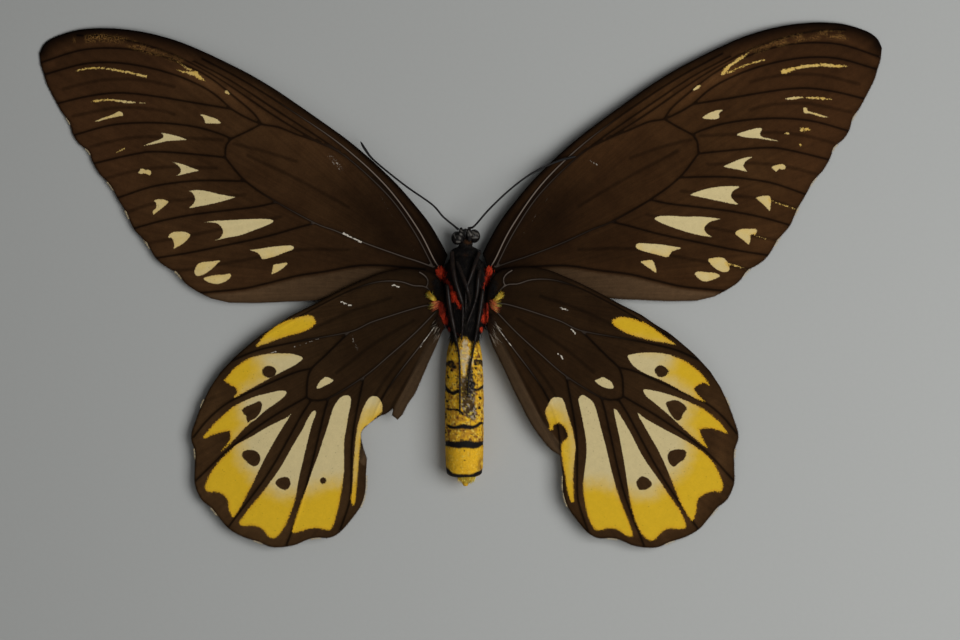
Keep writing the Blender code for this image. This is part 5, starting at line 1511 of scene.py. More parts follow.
        # Darker tip near the front edge: partly the wing's tone, partly painted shade.
        front *= 1.0 - ramp(base, 80.0, 105.0) * np.interp(costa, *FORE_TIP)
        for strength, reach, width in FORE_STREAKS:
            front *= 1.0 + strength * band(base, *reach) * band(costa, *width)
        return np.interp(base, *FORE_GROUND) * front * (1.0 + 0.16 * band(edge, 0.6, 2.0, 7.0, 10.0))

    def zone(self, rows: Points, base: Points) -> Points:
        """How far the ground is the paler colour of the hind edge, or below 0 the tip's rust."""
        side = np.abs(rows[:, 0])
        if self.plan.hind:
            inner = smooth_line(HIND_INNER[0], spacing=1.0)
            strip = placed(inner, self.plan.placing)
            away = line_distance(rows, strip, 8.0)
            return 0.95 * fade(away, 2.6, 3.4) * ramp(-rows[:, 1], 8.0, 13.0)
        anal = self.veins["anal"]
        order = np.argsort(np.abs(anal[:, 0]))
        level = np.interp(side, np.abs(anal[order, 0]), anal[order, 1])
        inner = 0.6 * ramp(level - rows[:, 1], 0.0, 1.2) * ramp(side, 14.0, 24.0)
        return inner - (1.0 - inner) * ramp(base, 80.0, 104.0)

    def build(self, finish: bpy.types.Material, hair: bpy.types.Material) -> None:
        """Makes the wing and its fringe.

        Args:
            finish: the scaled membrane's material.
            hair: the fringe's material.
        """
        plan = self.plan
        rows, faces = self.sheet()
        values = self.fields(rows)
        ridge = RIDGE_HEIGHT * np.exp(-(values["vein"] / RIDGE_WIDTH) ** 2)
        ridge *= np.clip(values["edge"] / 1.5, 0.15, 1.0)
        ridge *= 1.0 - 0.45 * ramp(np.abs(rows[:, 0]), 55.0, 108.0)
        groove = FOLD_DEPTH * np.exp(-(values["fold"] / FOLD_WIDTH) ** 2)
        middle = self.middle(rows)
        top = np.column_stack([rows, middle + HALF_MEMBRANE + ridge - groove])
        under = np.column_stack([rows, middle - HALF_MEMBRANE - ridge - groove])
        under[:, 2] = np.maximum(under[:, 2], FLOOR_GAP)
        count = len(rows)
        corners = np.concatenate([faces[:, [0, 1]], faces[:, [1, 2]], faces[:, [2, 0]]])
        packed = corners[:, 0] * count + corners[:, 1]
        reverse = corners[:, 1] * count + corners[:, 0]
        rim = corners[~np.isin(packed, reverse)]
        walls = np.concatenate([
            np.stack([rim[:, 1], rim[:, 0], rim[:, 0] + count], -1),
            np.stack([rim[:, 1], rim[:, 0] + count, rim[:, 1] + count], -1)])
        triangles = np.concatenate([faces, faces[:, ::-1] + count, walls])
        low, high = rows.min(axis=0), rows.max(axis=0)
        flat = (rows - low) / (high - low) * (0.48, 0.98) + (0.005, 0.01)
        top_uv = flat[faces]
        under_uv = flat[faces[:, ::-1]] + (0.5, 0.0)
        wall_uv = np.tile(flat, (2, 1))[walls]
        uv = np.concatenate([top_uv, under_uv, wall_uv]).reshape(-1, 2)
        mesh = triangle_mesh(plan.name + "_scaled", np.vstack([top, under]), triangles, uv)
        for key, number in values.items():
            store(mesh, key, np.tile(number, 2))
        dressed(mesh, finish, plan.slot, (plan.name,))
        dressed(self.fringe(low, high), hair, plan.slot)

    def fringe(self, low: Points, high: Points) -> bpy.types.Mesh:
        """The short hairs along the outer edge, cream in the notches and brown between."""
        line = self.outline
        spots = np.vstack([line + share * (np.roll(line, -1, axis=0) - line)
                           for share in (0.0, 0.25, 0.5, 0.75)])
        ahead = unit(np.tile(np.roll(line, -1, axis=0) - line, (4, 1)))
        out = np.stack([ahead[:, 1], -ahead[:, 0]], axis=1)
        base = np.linalg.norm(spots, axis=1)
        keep = base > 16.0
        keep &= line_distance(spots, self.costa, 3.0) > 1.5
        spots, out, ahead = spots[keep], out[keep], ahead[keep]
        count = len(spots)
        tears = np.array(self.plan.tears, float)
        pale = np.zeros(count)
        for x, y, radius in tears:
            pale = np.maximum(pale, fade(np.linalg.norm(spots - (x, y), axis=1), 0.6 * radius, radius))
        lean = np.column_stack([out + 0.25 * self.rng.normal(size=(count, 2)),
                                self.rng.normal(0.0, 0.15, count)])
        roots = np.column_stack([spots - 0.12 * out, self.middle(spots)])
        length = self.rng.uniform(0.28, 0.5, count) + 0.35 * pale
        chosen = self.rng.random(count) < pale
        tint = np.where(chosen[:, None], Tint.CREAM.array(), Tint.BROWN.array())
        tint = tint * self.rng.uniform(0.75, 1.2, (count, 1))
        width = np.where(chosen, 0.16, 0.12)
        uv = (roots[:, :2] - low) / (high - low) * (0.47, 0.97)
        up = np.tile((0.0, 0.0, 1.0), (count, 1))
        hairs = Hairs(roots, unit(lean), up, length, width, tint, uv, lift=0.05)
        return hairs.mesh(self.plan.name + "_fringe")


def streaked(points: Points) -> Points:
    """How much of the pale streaks over the head each point has."""
    share = np.zeros(len(points))
    near = np.flatnonzero(points[:, 1] > 11.5)
    if len(near) == 0:
        return share
    for x1, y1, x2, y2, half in HEAD_STREAKS:
        away = line_distance(points[near, :2], np.array([(x1, y1), (x2, y2)]), 2.0)
        share[near] = np.maximum(share[near], fade(away, 0.8 * half, 1.7 * half))
    return share * ramp(points[:, 2], 5.5, 6.5)


class Body:
    """Head, thorax and abdomen as one skin, with the hair that grows on it."""

    AXIS = ((16.2, 0.45, 5.5), (12.0, 0.4, 5.4), (8.0, 0.3, 5.2), (-8.0, 0.3, 5.0), (-14.0, 0.1, 4.85),
            (-47.0, 0.1, 4.85), (-49.5, 0.3, 5.0), (-51.6, 0.5, 5.3))
    FRONT = 15.95
    BACK = -51.45
    STEP = 0.22
    TURNS = 120

    def __init__(self, nodes: dict[str, bpy.types.Object]) -> None:
        """Reads the solids' surface along rays from the axis."""
        self.rng = np.random.default_rng(31)
        self.tree = surface_of([nodes[name] for name in ("head", "thorax", "abdomen")])
        axis = np.array(self.AXIS)[::-1]
        self.rows = np.arange(self.FRONT, self.BACK, -self.STEP)
        self.centre = np.stack([np.interp(self.rows, axis[:, 0], axis[:, k]) for k in (1, 2)], axis=1)
        self.angles = 2.0 * np.pi * np.arange(self.TURNS) / self.TURNS
        self.radius = self.settled(self.cast())

    def cast(self) -> Points:
        """Distance from the axis to the solids, for each row and angle."""
        found = np.full((len(self.rows), self.TURNS), np.nan)
        for i, (y, (x, z)) in enumerate(zip(self.rows, self.centre)):
            for j, angle in enumerate(self.angles):
                way = Vector((math.sin(angle), 0.0, math.cos(angle)))
                start = Vector((x, y, z)) * MM + way * 0.02
                hit = self.tree.ray_cast(start, -way, 0.02)
                if hit[0] is not None:
                    found[i, j] = 20.0 - hit[3] / MM
        return found

    def settled(self, radius: Points) -> Points:
        """Fills the joints between solids, smooths them and takes off the coat's depth."""
        for j in range(self.TURNS):
            column = radius[:, j]
            bad = np.isnan(column)
            column[bad] = np.interp(np.flatnonzero(bad), np.flatnonzero(~bad), column[~bad])
        kernel = np.exp(-0.5 * (np.arange(-4, 5) / 1.3) ** 2)
        kernel /= kernel.sum()
        padded = np.vstack([np.repeat(radius[:1], 4, axis=0), radius, np.repeat(radius[-1:], 4, axis=0)])
        smooth = sum(weight * padded[k:k + len(radius)] for k, weight in enumerate(kernel))
        joint = np.minimum(ramp(self.rows, -17.0, -14.0) + 0.25, 1.0)[:, None]
        radius = radius + (smooth - radius) * joint
        around = sum(weight * np.roll(radius, k - 4, axis=1) for k, weight in enumerate(kernel))
        return np.maximum(around - self.coat(self.rows)[:, None], 0.25)

    def coat(self, y: Points) -> Points:
        """Depth of the coat along the body."""
        return 0.08 + 0.25 * ramp(y, -15.0, -11.0)

    def at(self, y: Points, angle: Points) -> Points:
        """Points of the skin at places along and round the body."""
        row = np.clip((self.FRONT - y) / self.STEP, 0.0, len(self.rows) - 1.001)
        turn = (angle / (2.0 * np.pi) * self.TURNS) % self.TURNS
        i, j = row.astype(int), turn.astype(int) % self.TURNS
        s, t = row - i, turn - turn.astype(int)
        k = (j + 1) % self.TURNS
        radius = ((1 - s) * (1 - t) * self.radius[i, j] + s * (1 - t) * self.radius[i + 1, j]
                  + (1 - s) * t * self.radius[i, k] + s * t * self.radius[i + 1, k])
        centre = (1 - s)[:, None] * self.centre[i] + s[:, None] * self.centre[i + 1]
        return np.column_stack([centre[:, 0] + radius * np.sin(angle), y,
                                centre[:, 1] + radius * np.cos(angle)])

    def normal(self, y: Points, angle: Points) -> Points:
        """Outward directions of the skin at places along and round the body."""
        along = self.at(y + 0.2, angle) - self.at(y - 0.2, angle)
        across = self.at(y, angle + 0.05) - self.at(y, angle - 0.05)
        return unit(np.cross(across, along))

    def uv(self, y: Points, angle: Points) -> Points:
        """Places on the unwrapped skin."""
        along = (y - self.BACK) / (self.FRONT - self.BACK)
        return 0.99 * np.column_stack([(angle / (2 * np.pi)) % 1.0, along])

    def markings(self, points: Points) -> Points:
        """Colour of skin and hair at points of the body."""
        tint = np.tile(Tint.BLACK.array(), (len(points), 1))

        def paint(share: Points, kind: Tint) -> None:
            """Mixes a colour in."""
            tint[:] += (kind.array() - tint) * share[:, None]

        x, y, z = points.T
        coarse, fine = mottle(points, 1.3, 5), mottle(points, 0.5, 6)
        wave = 0.7 * (coarse - 0.5) + 0.6 * (fine - 0.5)
        streaks = mottle(points, (0.7, 3.0, 0.9), 8)
        # Golden abdomen with amber, russet and dark flecks
        rear = fade(y - 3.4 * (streaks - 0.5), -13.8, -12.6)
        front = 0.15 + 0.85 * ramp(y + 1.6 * wave, -41.6, -40.6)
        paint(rear, Tint.GOLDEN)
        paint(rear * front * 0.85 * ramp(0.55 * coarse + 0.45 * fine, 0.38, 0.62), Tint.AMBER)
        sides = ramp(np.abs(x + 0.6 * wave), 3.3, 4.9) * ramp(-y, 42.5, 45.5)
        paint(rear * sides * ramp(coarse, 0.2, 0.6), Tint.RUSSET)
        paint(rear * front * ramp(mottle(points, 0.8, 9), 0.64, 0.82), Tint.RUSSET)
        paint(rear * front * 0.8 * ramp(mottle(points, 0.45, 10), 0.73, 0.86), Tint.UMBER)
        # Worn cream and grey down its middle
        below = ramp(z, 6.0, 8.0) * rear
        plan = points[:, :2]
        pale = ramp(depth_inside(plan, MIDLINE) + 0.8 * wave, -0.15, 0.3)
        worn = 0.85 * ramp(streaks, 0.52, 0.72) * ramp(-y, 17.0, 20.0)
        paint(below * pale * (1.0 - worn) * (0.55 + 0.45 * ramp(fine, 0.3, 0.6)), Tint.CREAM)
        grey = ramp(depth_inside(plan, ASHEN) + 1.2 * wave, -0.3, 0.5)
        paint(below * grey * 0.92, Tint.UMBER)
        paint(0.5 * streaked(points), Tint.GREY)
        # Dark lines between the rings
        ink = np.zeros(len(points))
        for stroke in STROKES:
            line = smooth_line(stroke, steps=4)
            near = np.flatnonzero(np.abs(y - line[:, 1].mean()) < 4.0)
            for row in line:
                away = np.hypot(x[near] - row[0], y[near] - row[1]) + 0.28 * wave[near]
                ink[near] = np.maximum(ink[near], fade(away, 0.95 * row[2], 1.4 * row[2] + 0.06))
        smudge = ramp(y, -21.4, -20.6) * ramp(mottle(points, (0.3, 0.4, 0.3), 13), 0.5, 0.72)
        paint(ink * (1.0 - 0.25 * smudge) * ramp(z, 3.0, 4.6), Tint.BLACK)
        hoary = below * grey * (0.42 + 0.42 * ramp(-y, 27.5, 31.5))
        paint(hoary * ramp(mottle(points, (0.26, 0.46, 0.26), 11), 0.52, 0.76), Tint.PEARL)
        # Straw flecks on the golden rings: pale scales, and painted glints.
        flecks_and_glints = (0.3 + 0.35 * front) * ramp(mottle(points, (0.36, 0.5, 0.36), 12), 0.66, 0.8)
        paint(rear * (1.0 - ink) * flecks_and_glints, Tint.STRAW)
        # Red and rusty patches
        for cx, cy, rx, ry, strength, kind in PATCHES:
            away = np.hypot((x - cx) / rx, (y - cy) / ry) + 0.5 * wave
            paint(strength * fade(away, 0.7, 1.15) * ramp(z, 1.5, 3.0), kind)
        return tint

    def skin(self) -> bpy.types.Mesh:
        """The closed skin."""
        turn = np.array(self.angles)[None]
        points = np.stack([self.centre[:, :1] + self.radius * np.sin(turn),
                           np.repeat(self.rows[:, None], self.TURNS, axis=1),
                           self.centre[:, 1:] + self.radius * np.cos(turn)], axis=-1).reshape(-1, 3)
        front = (self.centre[0][0], self.FRONT + 0.15, self.centre[0][1])
        back = (self.centre[-1][0], self.rows[-1] - 0.1, self.centre[-1][1])
        points = np.vstack([points, [front, back]])
        faces = tube_faces(len(self.rows), self.TURNS)[:, ::-1]
        mesh = triangle_mesh("body_skin", points, faces)
        store(mesh, "tint", self.markings(points))
        return mesh

    def grown(self, name: str, count: int, span: tuple[float, float], length: tuple[float, float],
              width: float, lift: float, spread: float) -> bpy.types.Mesh:
        """Hair over a stretch of the body.

        Args:
            name: the mesh's name.
            count: how many hairs.
            span: the stretch, as the lowest and highest y.
            length: shortest and longest hair.
            width: a hair's width at its root.
            lift: how far hairs stand off the skin.
            spread: how much their directions differ.

        Returns:
            The mesh.
        """
        y = self.rng.uniform(*span, count)
        angle = self.rng.uniform(0.0, 2.0 * np.pi, count)
        roots = self.at(y, angle)
        up = self.normal(y, angle)
        roots = roots - 0.05 * up
        lean = np.tile((0.0, -1.0, 0.0), (count, 1)) + self.rng.normal(0.0, spread, (count, 3))
        lean = unit(lean - up * np.sum(lean * up, axis=1, keepdims=True))
        tall = self.rng.uniform(*length, count)
        fall = -(lean[:, 2] + 0.45 * lift * up[:, 2]) * tall
        room = np.maximum(roots[:, 2] - 0.06, 0.01)
        tall = np.where(fall > room, tall * room / np.maximum(fall, 0.01), tall)
        tint = self.markings(roots) * self.rng.uniform(0.6, 1.35, (count, 1))
        # A few black hairs made lighter: olive-brown hair, and painted sheen.
        lighter_hair_and_sheen = (self.rng.random(count) < 0.07) & (tint[:, 0] < 0.03)
        tint[lighter_hair_and_sheen] = Tint.UMBER.array() * (1.8, 2.2, 2.6)
        return Hairs(roots, lean, up, tall, np.full(count, width), np.clip(tint, 0.0, 0.95),
                     self.uv(y, angle), lift).mesh(name)


@dataclass
class Legs:
    """The six folded legs, each a jointed rod with spines and claws."""

    sides: int = 14
    step: float = 0.16
    spine_length: float = 0.42
    segment: float = 1.5

    def build(self, nodes: dict[str, bpy.types.Object], finish: bpy.types.Material) -> None:
        """Makes one piece for each leg.

        Args:
            nodes: the frame's solids.
            finish: the legs' material.
        """
        rng = np.random.default_rng(5)
        for name, line in LEGS.items():
            rows = smooth_line(line, spacing=self.step)
            top = drop(surface_of([nodes[name]]), rows)
            known = ~np.isnan(top)
            steps = np.arange(len(rows))
            top = np.interp(steps, steps[known], top[known])
            radius = rows[:, 2]
            path = np.column_stack([rows[:, :2], settle(top - radius, 3)])
            shapes = [loft(path, self.profile(path, radius), self.sides), *self.claws(path),
                      self.spines(path, radius, rng)]
            points, faces = joined(shapes)
            mesh = triangle_mesh(name + "_jointed", points, faces)
            dressed(mesh, finish, "leg", (name,))

    def profile(self, path: Points, radius: Points) -> Points:
        """Radius along a leg, swelling before each joint."""
        lengths = travelled(path)
        foot = radius < FOOT_RADIUS
        phase = (lengths / self.segment) % 1.0
        swell = np.where(foot, 0.8 + 0.26 * ramp(phase, 0.45, 0.95), 0.95)
        ends = np.minimum(ramp(lengths, -0.1, 0.5), ramp(lengths[-1] - lengths, -0.1, 0.4))
        return settle(radius * swell, 1) * (0.45 + 0.55 * ends)

    def claws(self, path: Points) -> list[tuple[Points, Points]]:
        """The two hooked claws at the foot."""
        ahead = path[-1] - path[-4]
        ahead /= np.linalg.norm(ahead)
        side = np.cross(ahead, (0.0, 0.0, 1.0))
        share = np.linspace(0.0, 1.0, 6)[:, None]
        made = []
        for sign in (-1.0, 1.0):
            line = (path[-1] + (0.62 * share) * ahead + sign * (0.32 * share ** 0.7) * side
                    - (0.22 * share ** 2) * np.array((0.0, 0.0, 1.0)))
            made.append(loft(line, 0.09 * (1.05 - 0.8 * share[:, 0]), 6))
        return made

    def spines(self, path: Points, radius: Points, rng: np.random.Generator) -> tuple[Points, Points]:
        """Two rows of spines along the shin and foot."""
        start = len(path) // 3
        picked = np.arange(start, len(path) - 3, 3)
        ahead = unit(np.gradient(path, axis=0)[picked])
        side = np.cross(ahead, (0.0, 0.0, 1.0))
        sign = np.where(np.arange(len(picked)) % 2, 1.0, -1.0)[:, None]
        out = unit(sign * side + rng.normal(0.0, 0.15, side.shape))
        lean = unit(out + 0.9 * ahead)
        roots = path[picked] + 0.75 * radius[picked, None] * out
        count = len(picked)
        up = np.tile((0.0, 0.0, 1.0), (count, 1))
        hairs = Hairs(roots, lean, up, rng.uniform(0.7, 1.1, count) * self.spine_length,
                      np.full(count, 0.09), np.zeros((count, 3)), np.zeros((count, 2)), lift=0.1,
                      rings=1)
        return hairs.shape()[:2]


@dataclass
class Feelers:
    """The clubbed antennae, the two palps and the coiled tongue."""

    ring: float = 0.5
    groove: float = 0.07
    step: float = 0.125
    palp_step: float = 0.12

    def antennae(self, finish: bpy.types.Material) -> None:
        """Makes the ringed antennae."""
        for name, line in ANTENNAE.items():
            rows = smooth_line(line, spacing=self.step)
            lengths = self.step * np.arange(len(rows))
            rings = 0.5 + 0.5 * np.cos(2 * np.pi * lengths / self.ring)
            radius = rows[:, 3] * (1.0 - self.groove * rings)
            tip = ramp(lengths[-1] - lengths, -0.15, 0.8)
            points, faces = loft(rows[:, :3], radius * (0.3 + 0.7 * tip), 12)
            dressed(triangle_mesh(name + "_ringed", points, faces), finish, "antenna", (name,))

    def palps(self, finish: bpy.types.Material) -> None:
        """Makes the scaled palps, with their pale stripes."""
        for name, line in PALPS.items():
            rows = smooth_line(line, spacing=self.palp_step)
            ends = tapered(self.palp_step * np.arange(len(rows)), -0.1, 0.45)
            points, faces = loft(rows[:, :3], rows[:, 3] * (0.25 + 0.75 * ends), 18)
            mesh = triangle_mesh(name + "_scaled", points, faces)
            store(mesh, "tint", self.striped(points))
            dressed(mesh, finish, "mouthparts", (name,))

    @staticmethod
    def striped(points: Points) -> Points:
        """Black with a few narrow pale streaks."""
        tint = np.tile(Tint.BLACK.array(), (len(points), 1))
        return tint + (Tint.GREY.array() - tint) * 0.5 * streaked(points)[:, None]

    def tongue(self, finish: bpy.types.Material) -> None:
        """Makes the coiled tongue, ribbed along its length."""
        count = 150
        turn = 2.0 * np.pi * COIL_TURNS * np.linspace(0.0, 1.0, count)
        bearing = math.radians(COIL_END) - (2.0 * np.pi * COIL_TURNS - turn)
        reach = COIL_INNER + COIL_PITCH * turn / (2.0 * np.pi)
        x, y, z = COIL_CENTRE
        path = np.column_stack([np.full(count, x), y + reach * np.cos(bearing),
                                z + reach * np.sin(bearing)])
        ribs = 1.0 - 0.08 * (0.5 + 0.5 * np.cos(2.4 * np.arange(count)))
        ends = tapered(np.arange(count), -2.0, 6.0)
        points, faces = loft(path, COIL_RADIUS * ribs * (0.3 + 0.7 * ends), 12)
        dressed(triangle_mesh("tongue_coil", points, faces), finish, "mouthparts", ("proboscis",))


@dataclass
class Eyes:
    """Two domes of small flat facets, made by nodes."""

    subdivisions: int = 5

    def tree(self) -> bpy.types.NodeTree:
        """The nodes that make a faceted dome of given radii at a given place."""
        tree = bpy.data.node_groups.new("faceted_dome", "GeometryNodeTree")
        tree.interface.new_socket("Geometry", in_out="OUTPUT", socket_type="NodeSocketGeometry")
        for name, kind in (("Geometry", "Geometry"), ("Centre", "Vector"), ("Radii", "Vector"),
                           ("Subdivisions", "Int"), ("Finish", "Material")):
            tree.interface.new_socket(name, in_out="INPUT", socket_type="NodeSocket" + kind)
        graph = Graph(tree)
        source = graph.add("NodeGroupInput").outputs
        ball = graph.add("GeometryNodeMeshIcoSphere", {
            "Radius": 1.0, "Subdivisions": source["Subdivisions"]})
        facets = graph.add("GeometryNodeDualMesh", {"Mesh": ball.outputs["Mesh"]})
        moved = graph.add("GeometryNodeTransform", {
            "Geometry": facets.outputs[0], "Translation": source["Centre"], "Scale": source["Radii"]})
        whole = graph.add("GeometryNodeRealizeInstances", {"Geometry": moved.outputs[0]})
        dressed_up = graph.add("GeometryNodeSetMaterial", {
            "Geometry": whole.outputs[0], "Material": source["Finish"]})
        graph.add("NodeGroupOutput", {0: dressed_up.outputs[0]})
        return tree

    def build(self, finish: bpy.types.Material) -> None:
        """Makes both eyes.

        Args:
            finish: the eyes' material.
        """
        tree = self.tree()
        keys = {item.name: item.identifier for item in tree.interface.items_tree
                if item.in_out == "INPUT"}
        for name, (centre, radii, shade) in EYES.items():
            holder = linked(name + "_maker", bpy.data.meshes.new(name + "_empty"))
            maker = holder.modifiers.new("facets", "NODES")
            maker.node_group = tree
            maker[keys["Centre"]] = tuple(MM * value for value in centre)
            maker[keys["Radii"]] = tuple(MM * value for value in radii)
            maker[keys["Subdivisions"]] = self.subdivisions
            maker[keys["Finish"]] = finish
            bpy.context.view_layer.update()
            graph = bpy.context.evaluated_depsgraph_get()
            mesh = bpy.data.meshes.new_from_object(holder.evaluated_get(graph))
            holder.modifiers.remove(maker)
            bpy.data.objects.remove(holder)
            mesh.name = name + "_faceted"
            rows = np.array([vertex.co for vertex in mesh.vertices]) / MM
            # Pale streaks over the eyes: grey scales, and painted highlight. Each eye is scaled by its
            # brightness, the right one darker as painted shade.
            store(mesh, "tint", shade * Feelers.striped(rows))
            dressed(mesh, finish, "eye", (name,))


class Tufts:
    """Tufts of longer hair where the wings meet the body."""

    def __init__(self, body: Body, ground: BVHTree) -> None:
        """Takes the skin for its unwrap, and the surface that the tufts stand on."""
        self.body = body
        self.ground = ground
        self.rng = np.random.default_rng(77)

    def mesh(self) -> bpy.types.Mesh:
        """One mesh of every tuft."""
        roots, leans, lengths, tints, widths = [], [], [], [], []
        for x1, y1, x2, y2, half, heading, length, count, kind in TUFTS:
            along = self.rng.random((count, 1))
            place = np.array((x1, y1)) + along * np.array((x2 - x1, y2 - y1))
            place = place + self.rng.normal(0.0, 0.6 * half, (count, 2))
            height = drop(self.ground, place)
            place = np.column_stack([place, height - 0.06])
            kept = ~np.isnan(height)
            angle = math.radians(heading) + self.rng.normal(0.0, 0.24, count)
            lean = np.column_stack([np.cos(angle), np.sin(angle), self.rng.uniform(-0.05, 0.28, count)])
            roots.append(place[kept])
            leans.append(lean[kept])
            lengths.append(self.rng.uniform(0.55, 1.15, count)[kept] * length)
            tint = kind.array() * self.rng.uniform(0.6, 1.35, (count, 1))
            tint[self.rng.random(count) < 0.12] = Tint.BLACK.array()
            tints.append(tint[kept])
            widths.append(np.full(kept.sum(), 0.11))
        for store_in, found in zip((roots, leans, lengths, tints, widths), self.brush(900)):
            store_in.append(found)
        root = np.vstack(roots)
        lean = unit(np.vstack(leans))
        up = np.tile((0.0, 0.0, 1.0), (len(root), 1))
        angle = np.arctan2(root[:, 0], root[:, 2] - 5.0)
        hairs = Hairs(root, lean, up, np.concatenate(lengths), np.concatenate(widths),
                      np.clip(np.vstack(tints), 0.0, 0.95), self.body.uv(root[:, 1], angle), lift=0.3)
        return hairs.mesh("root_tufts")

    def brush(self, count: int) -> tuple[Points, ...]:
        """Roots, directions, lengths, colours and widths of the hair round the tail's tip."""
        turn = self.rng.uniform(0.0, 2.0 * np.pi, count)
        reach = self.rng.uniform(0.5, 2.5, count)
        out = np.column_stack([np.sin(turn), np.zeros(count), np.cos(turn)])
        root = np.array((0.6, -48.9, 5.0)) + out * reach[:, None]
        lean = np.array((0.05, -1.0, 0.0)) - (0.1 * reach[:, None]) * out
        lean = lean + self.rng.normal(0.0, 0.12, (count, 3))
        # The tail's hair is lightened: painted light against the shade at the rear of the abdomen.
        tint = np.minimum(Tint.STRAW.array() * self.rng.uniform(0.85, 1.25, (count, 1)), 0.95)
        tint[self.rng.random(count) < 0.3] = Tint.GOLDEN.array()
        return root, lean, self.rng.uniform(1.2, 2.7, count) - 0.3 * reach, tint, np.full(count, 0.12)


@dataclass
class Studio:
    """Pale board, soft light and the camera straight above."""

    floor_size: float = 1.4
    key_place: tuple[float, float, float] = (0.34, -0.06, 0.52)
    key_power: float = 2.85
    key_size: float = 0.45
    fill_place: tuple[float, float, float] = (-0.1, -0.5, 0.6)
    fill_power: float = 0.57
    fill_size: float = 0.7
    sky: float = 0.074

    def build(self, finish: bpy.types.Material) -> None:
        """Sets out floor, lights and camera.

        Args:
            finish: the floor's material.
        """
        half = 500.0 * self.floor_size
        corners = np.array([(-half, -half, 0.0), (half, -half, 0.0), (half, half, 0.0), (-half, half, 0.0)])
        board = linked("floor", triangle_mesh("floor", corners, np.array([(0, 1, 2), (0, 2, 3)])))
        board.data.materials.append(finish)
        self.lamp("key", self.key_place, self.key_power, self.key_size)
        self.lamp("fill", self.fill_place, self.fill_power, self.fill_size)
        world = bpy.data.worlds.new("room")
        world.use_nodes = True
        backdrop = world.node_tree.nodes["Background"]
        backdrop.inputs["Color"].default_value = (1.0, 1.0, 1.0, 1.0)
        backdrop.inputs["Strength"].default_value = self.sky
        bpy.context.scene.world = world
        bpy.context.scene.view_settings.view_transform = "Standard"
        self.camera()

    def lamp(self, name: str, place: tuple[float, float, float], power: float, size: float) -> None:
        """Hangs a soft lamp that faces the specimen."""
        light = bpy.data.lights.new(name, "AREA")
        light.energy = power
        light.size = size
        lamp = linked(name, light)
        lamp.location = place
        lamp.rotation_euler = (-Vector(place)).to_track_quat("-Z", "Y").to_euler()

    def camera(self) -> None:
        """Places the camera over the middle of the view."""
        data = bpy.data.cameras.new("camera")
        data.lens = CAMERA_LENS
        data.sensor_width = CAMERA_SENSOR
        data.clip_end = 10.0
        data.clip_start = 0.05
        camera = linked("camera", data)
        height = VIEW_PLANE + VIEW_WIDTH * CAMERA_LENS / CAMERA_SENSOR
        camera.location = (CAMERA_CENTRE[0] * MM, CAMERA_CENTRE[1] * MM, height * MM)
        bpy.context.scene.camera = camera


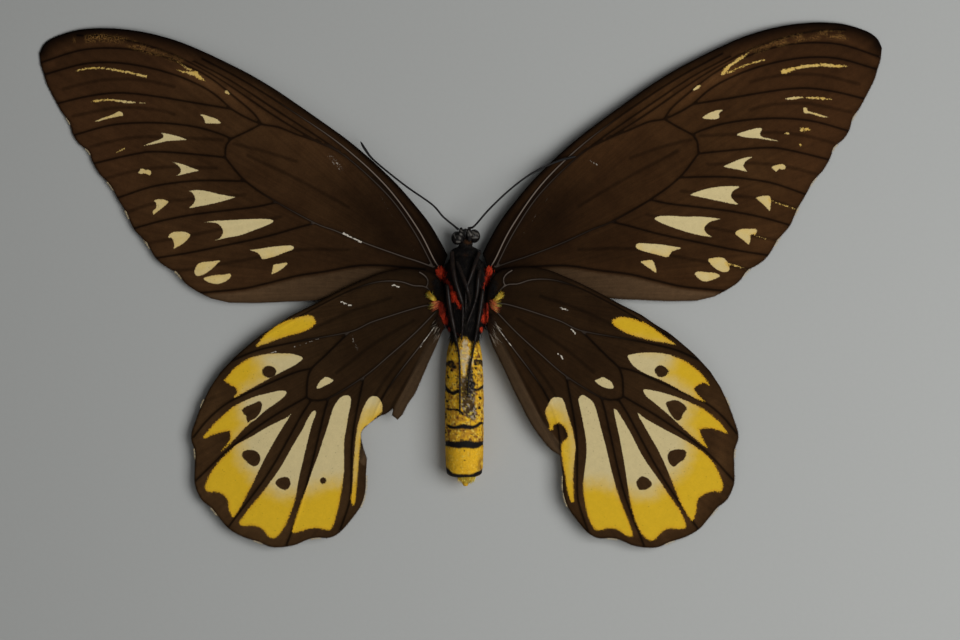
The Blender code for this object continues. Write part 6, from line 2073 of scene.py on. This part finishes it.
def wing_plans() -> list[WingPlan]:
    """The four wings."""
    fore_pins = (FORE_PINS_RIGHT, FORE_PINS_LEFT)
    hind_pins = (HIND_PINS_RIGHT, HIND_PINS_LEFT)
    whole_hind = (*HIND_OUTLINE, *HIND_INNER)
    torn_hind = (*HIND_OUTLINE, *HIND_INNER_TORN)
    fore_left_notches = notches(FORE_NOTCHES, FORE_LEFT)
    hind_left_notches = notches(HIND_NOTCHES, HIND_LEFT)
    # Pale vein crests for each wing: bared veins, and painted highlight.
    worn = (("subcosta", 0.9, 72.0), ("radius", 0.22, 60.0), ("cubitus", 0.3, 62.0))
    fresh = (("subcosta", 0.85, 62.0), ("radius", 0.2, 52.0), ("cubitus", 0.1, 50.0))
    hind_crests = (("cubitus", 0.22, 50.0), ("radius", 0.2, 50.0), ("anal", 0.32, 34.0),
                   ("subcosta", 0.28, 30.0), ("humeral", 0.4, 40.0))
    return [
        WingPlan("forewing_right", "forewing", FORE_OUTLINE, FORE_VEINS, FORE_FOLDS, FORE_MARKS_RIGHT, {},
                 AS_DRAWN, None, FORE_DUST_RIGHT, FORE_NOTCHES, fresh, seed=1,
                 hue=(0.88, 0.85, 0.72), pallor=0.94),
        WingPlan("forewing_left", "forewing", FORE_OUTLINE, FORE_VEINS, FORE_FOLDS, FORE_MARKS_LEFT, {},
                 FORE_LEFT, fore_pins, FORE_DUST_LEFT, fore_left_notches, worn, seed=2,
                 hue=(0.99, 1.01, 0.96), pallor=1.07),
        WingPlan("hindwing_right", "hindwing", whole_hind, HIND_VEINS, HIND_FOLDS, HIND_MARKS_RIGHT,
                 HIND_SPOTS_RIGHT, AS_DRAWN, None, (), HIND_NOTCHES, hind_crests, seed=3,
                 hue=(0.87, 0.92, 0.84), pallor=0.86, shadow=1.0),
        WingPlan("hindwing_left", "hindwing", torn_hind, HIND_VEINS, HIND_FOLDS, HIND_MARKS_LEFT,
                 HIND_SPOTS_LEFT, HIND_LEFT, hind_pins, (), hind_left_notches, hind_crests, seed=4,
                 hue=(0.98, 1.10, 1.08), pallor=0.955),
    ]


def notches(rows: Line, matrix: Any) -> Line:
    """The pale notches of the other side's margin."""
    moved = placed([row[:2] for row in rows], matrix)
    return tuple((x, y, row[2]) for (x, y), row in zip(moved, rows))


def main() -> None:
    """Builds every piece over the frame, in order."""
    logging.basicConfig(level=logging.INFO, format="%(name)s: %(message)s")
    nodes = frame["nodes"]
    groups = Groups()
    scales = WingFinish("scales", roughness=0.8, shine=0.04)
    hair = TintFinish("hair", roughness=0.7, shine=0.12).material(groups)
    skin = TintFinish("skin", roughness=0.75, shine=0.1).material(groups)
    horn = HornFinish("horn", roughness=0.27, shine=0.13).material(groups)
    feeler = HornFinish("feeler", roughness=0.5, shine=0.2, warm=(0.012, 0.01, 0.009)).material(groups)
    lens = TintFinish("lens", roughness=0.25, shine=0.16).material(groups)
    for plan in wing_plans():
        Wing(plan).build(scales.toned(plan.name + "_scales", plan.hue, plan.pallor).material(groups), hair)
    body = Body(nodes)
    dressed(body.skin(), skin, "thorax", ("head", "thorax", "abdomen"))
    few = 1
    for part, (count, *growth) in FUR.items():
        dressed(body.grown(part + "_fur", count // few, *growth), hair, part)
    ground = surface_of([nodes[name] for name in (
        "thorax", "abdomen", "head", "forewing_left", "forewing_right", "hindwing_left", "hindwing_right")])
    dressed(Tufts(body, ground).mesh(), hair, "thorax")
    Legs().build(nodes, horn)
    feelers = Feelers()
    feelers.antennae(feeler)
    feelers.palps(skin)
    feelers.tongue(feeler)
    Eyes(5).build(lens)
    Studio().build(FloorFinish("board", roughness=0.9).material(groups))


if __name__ == "__main__":
    main()
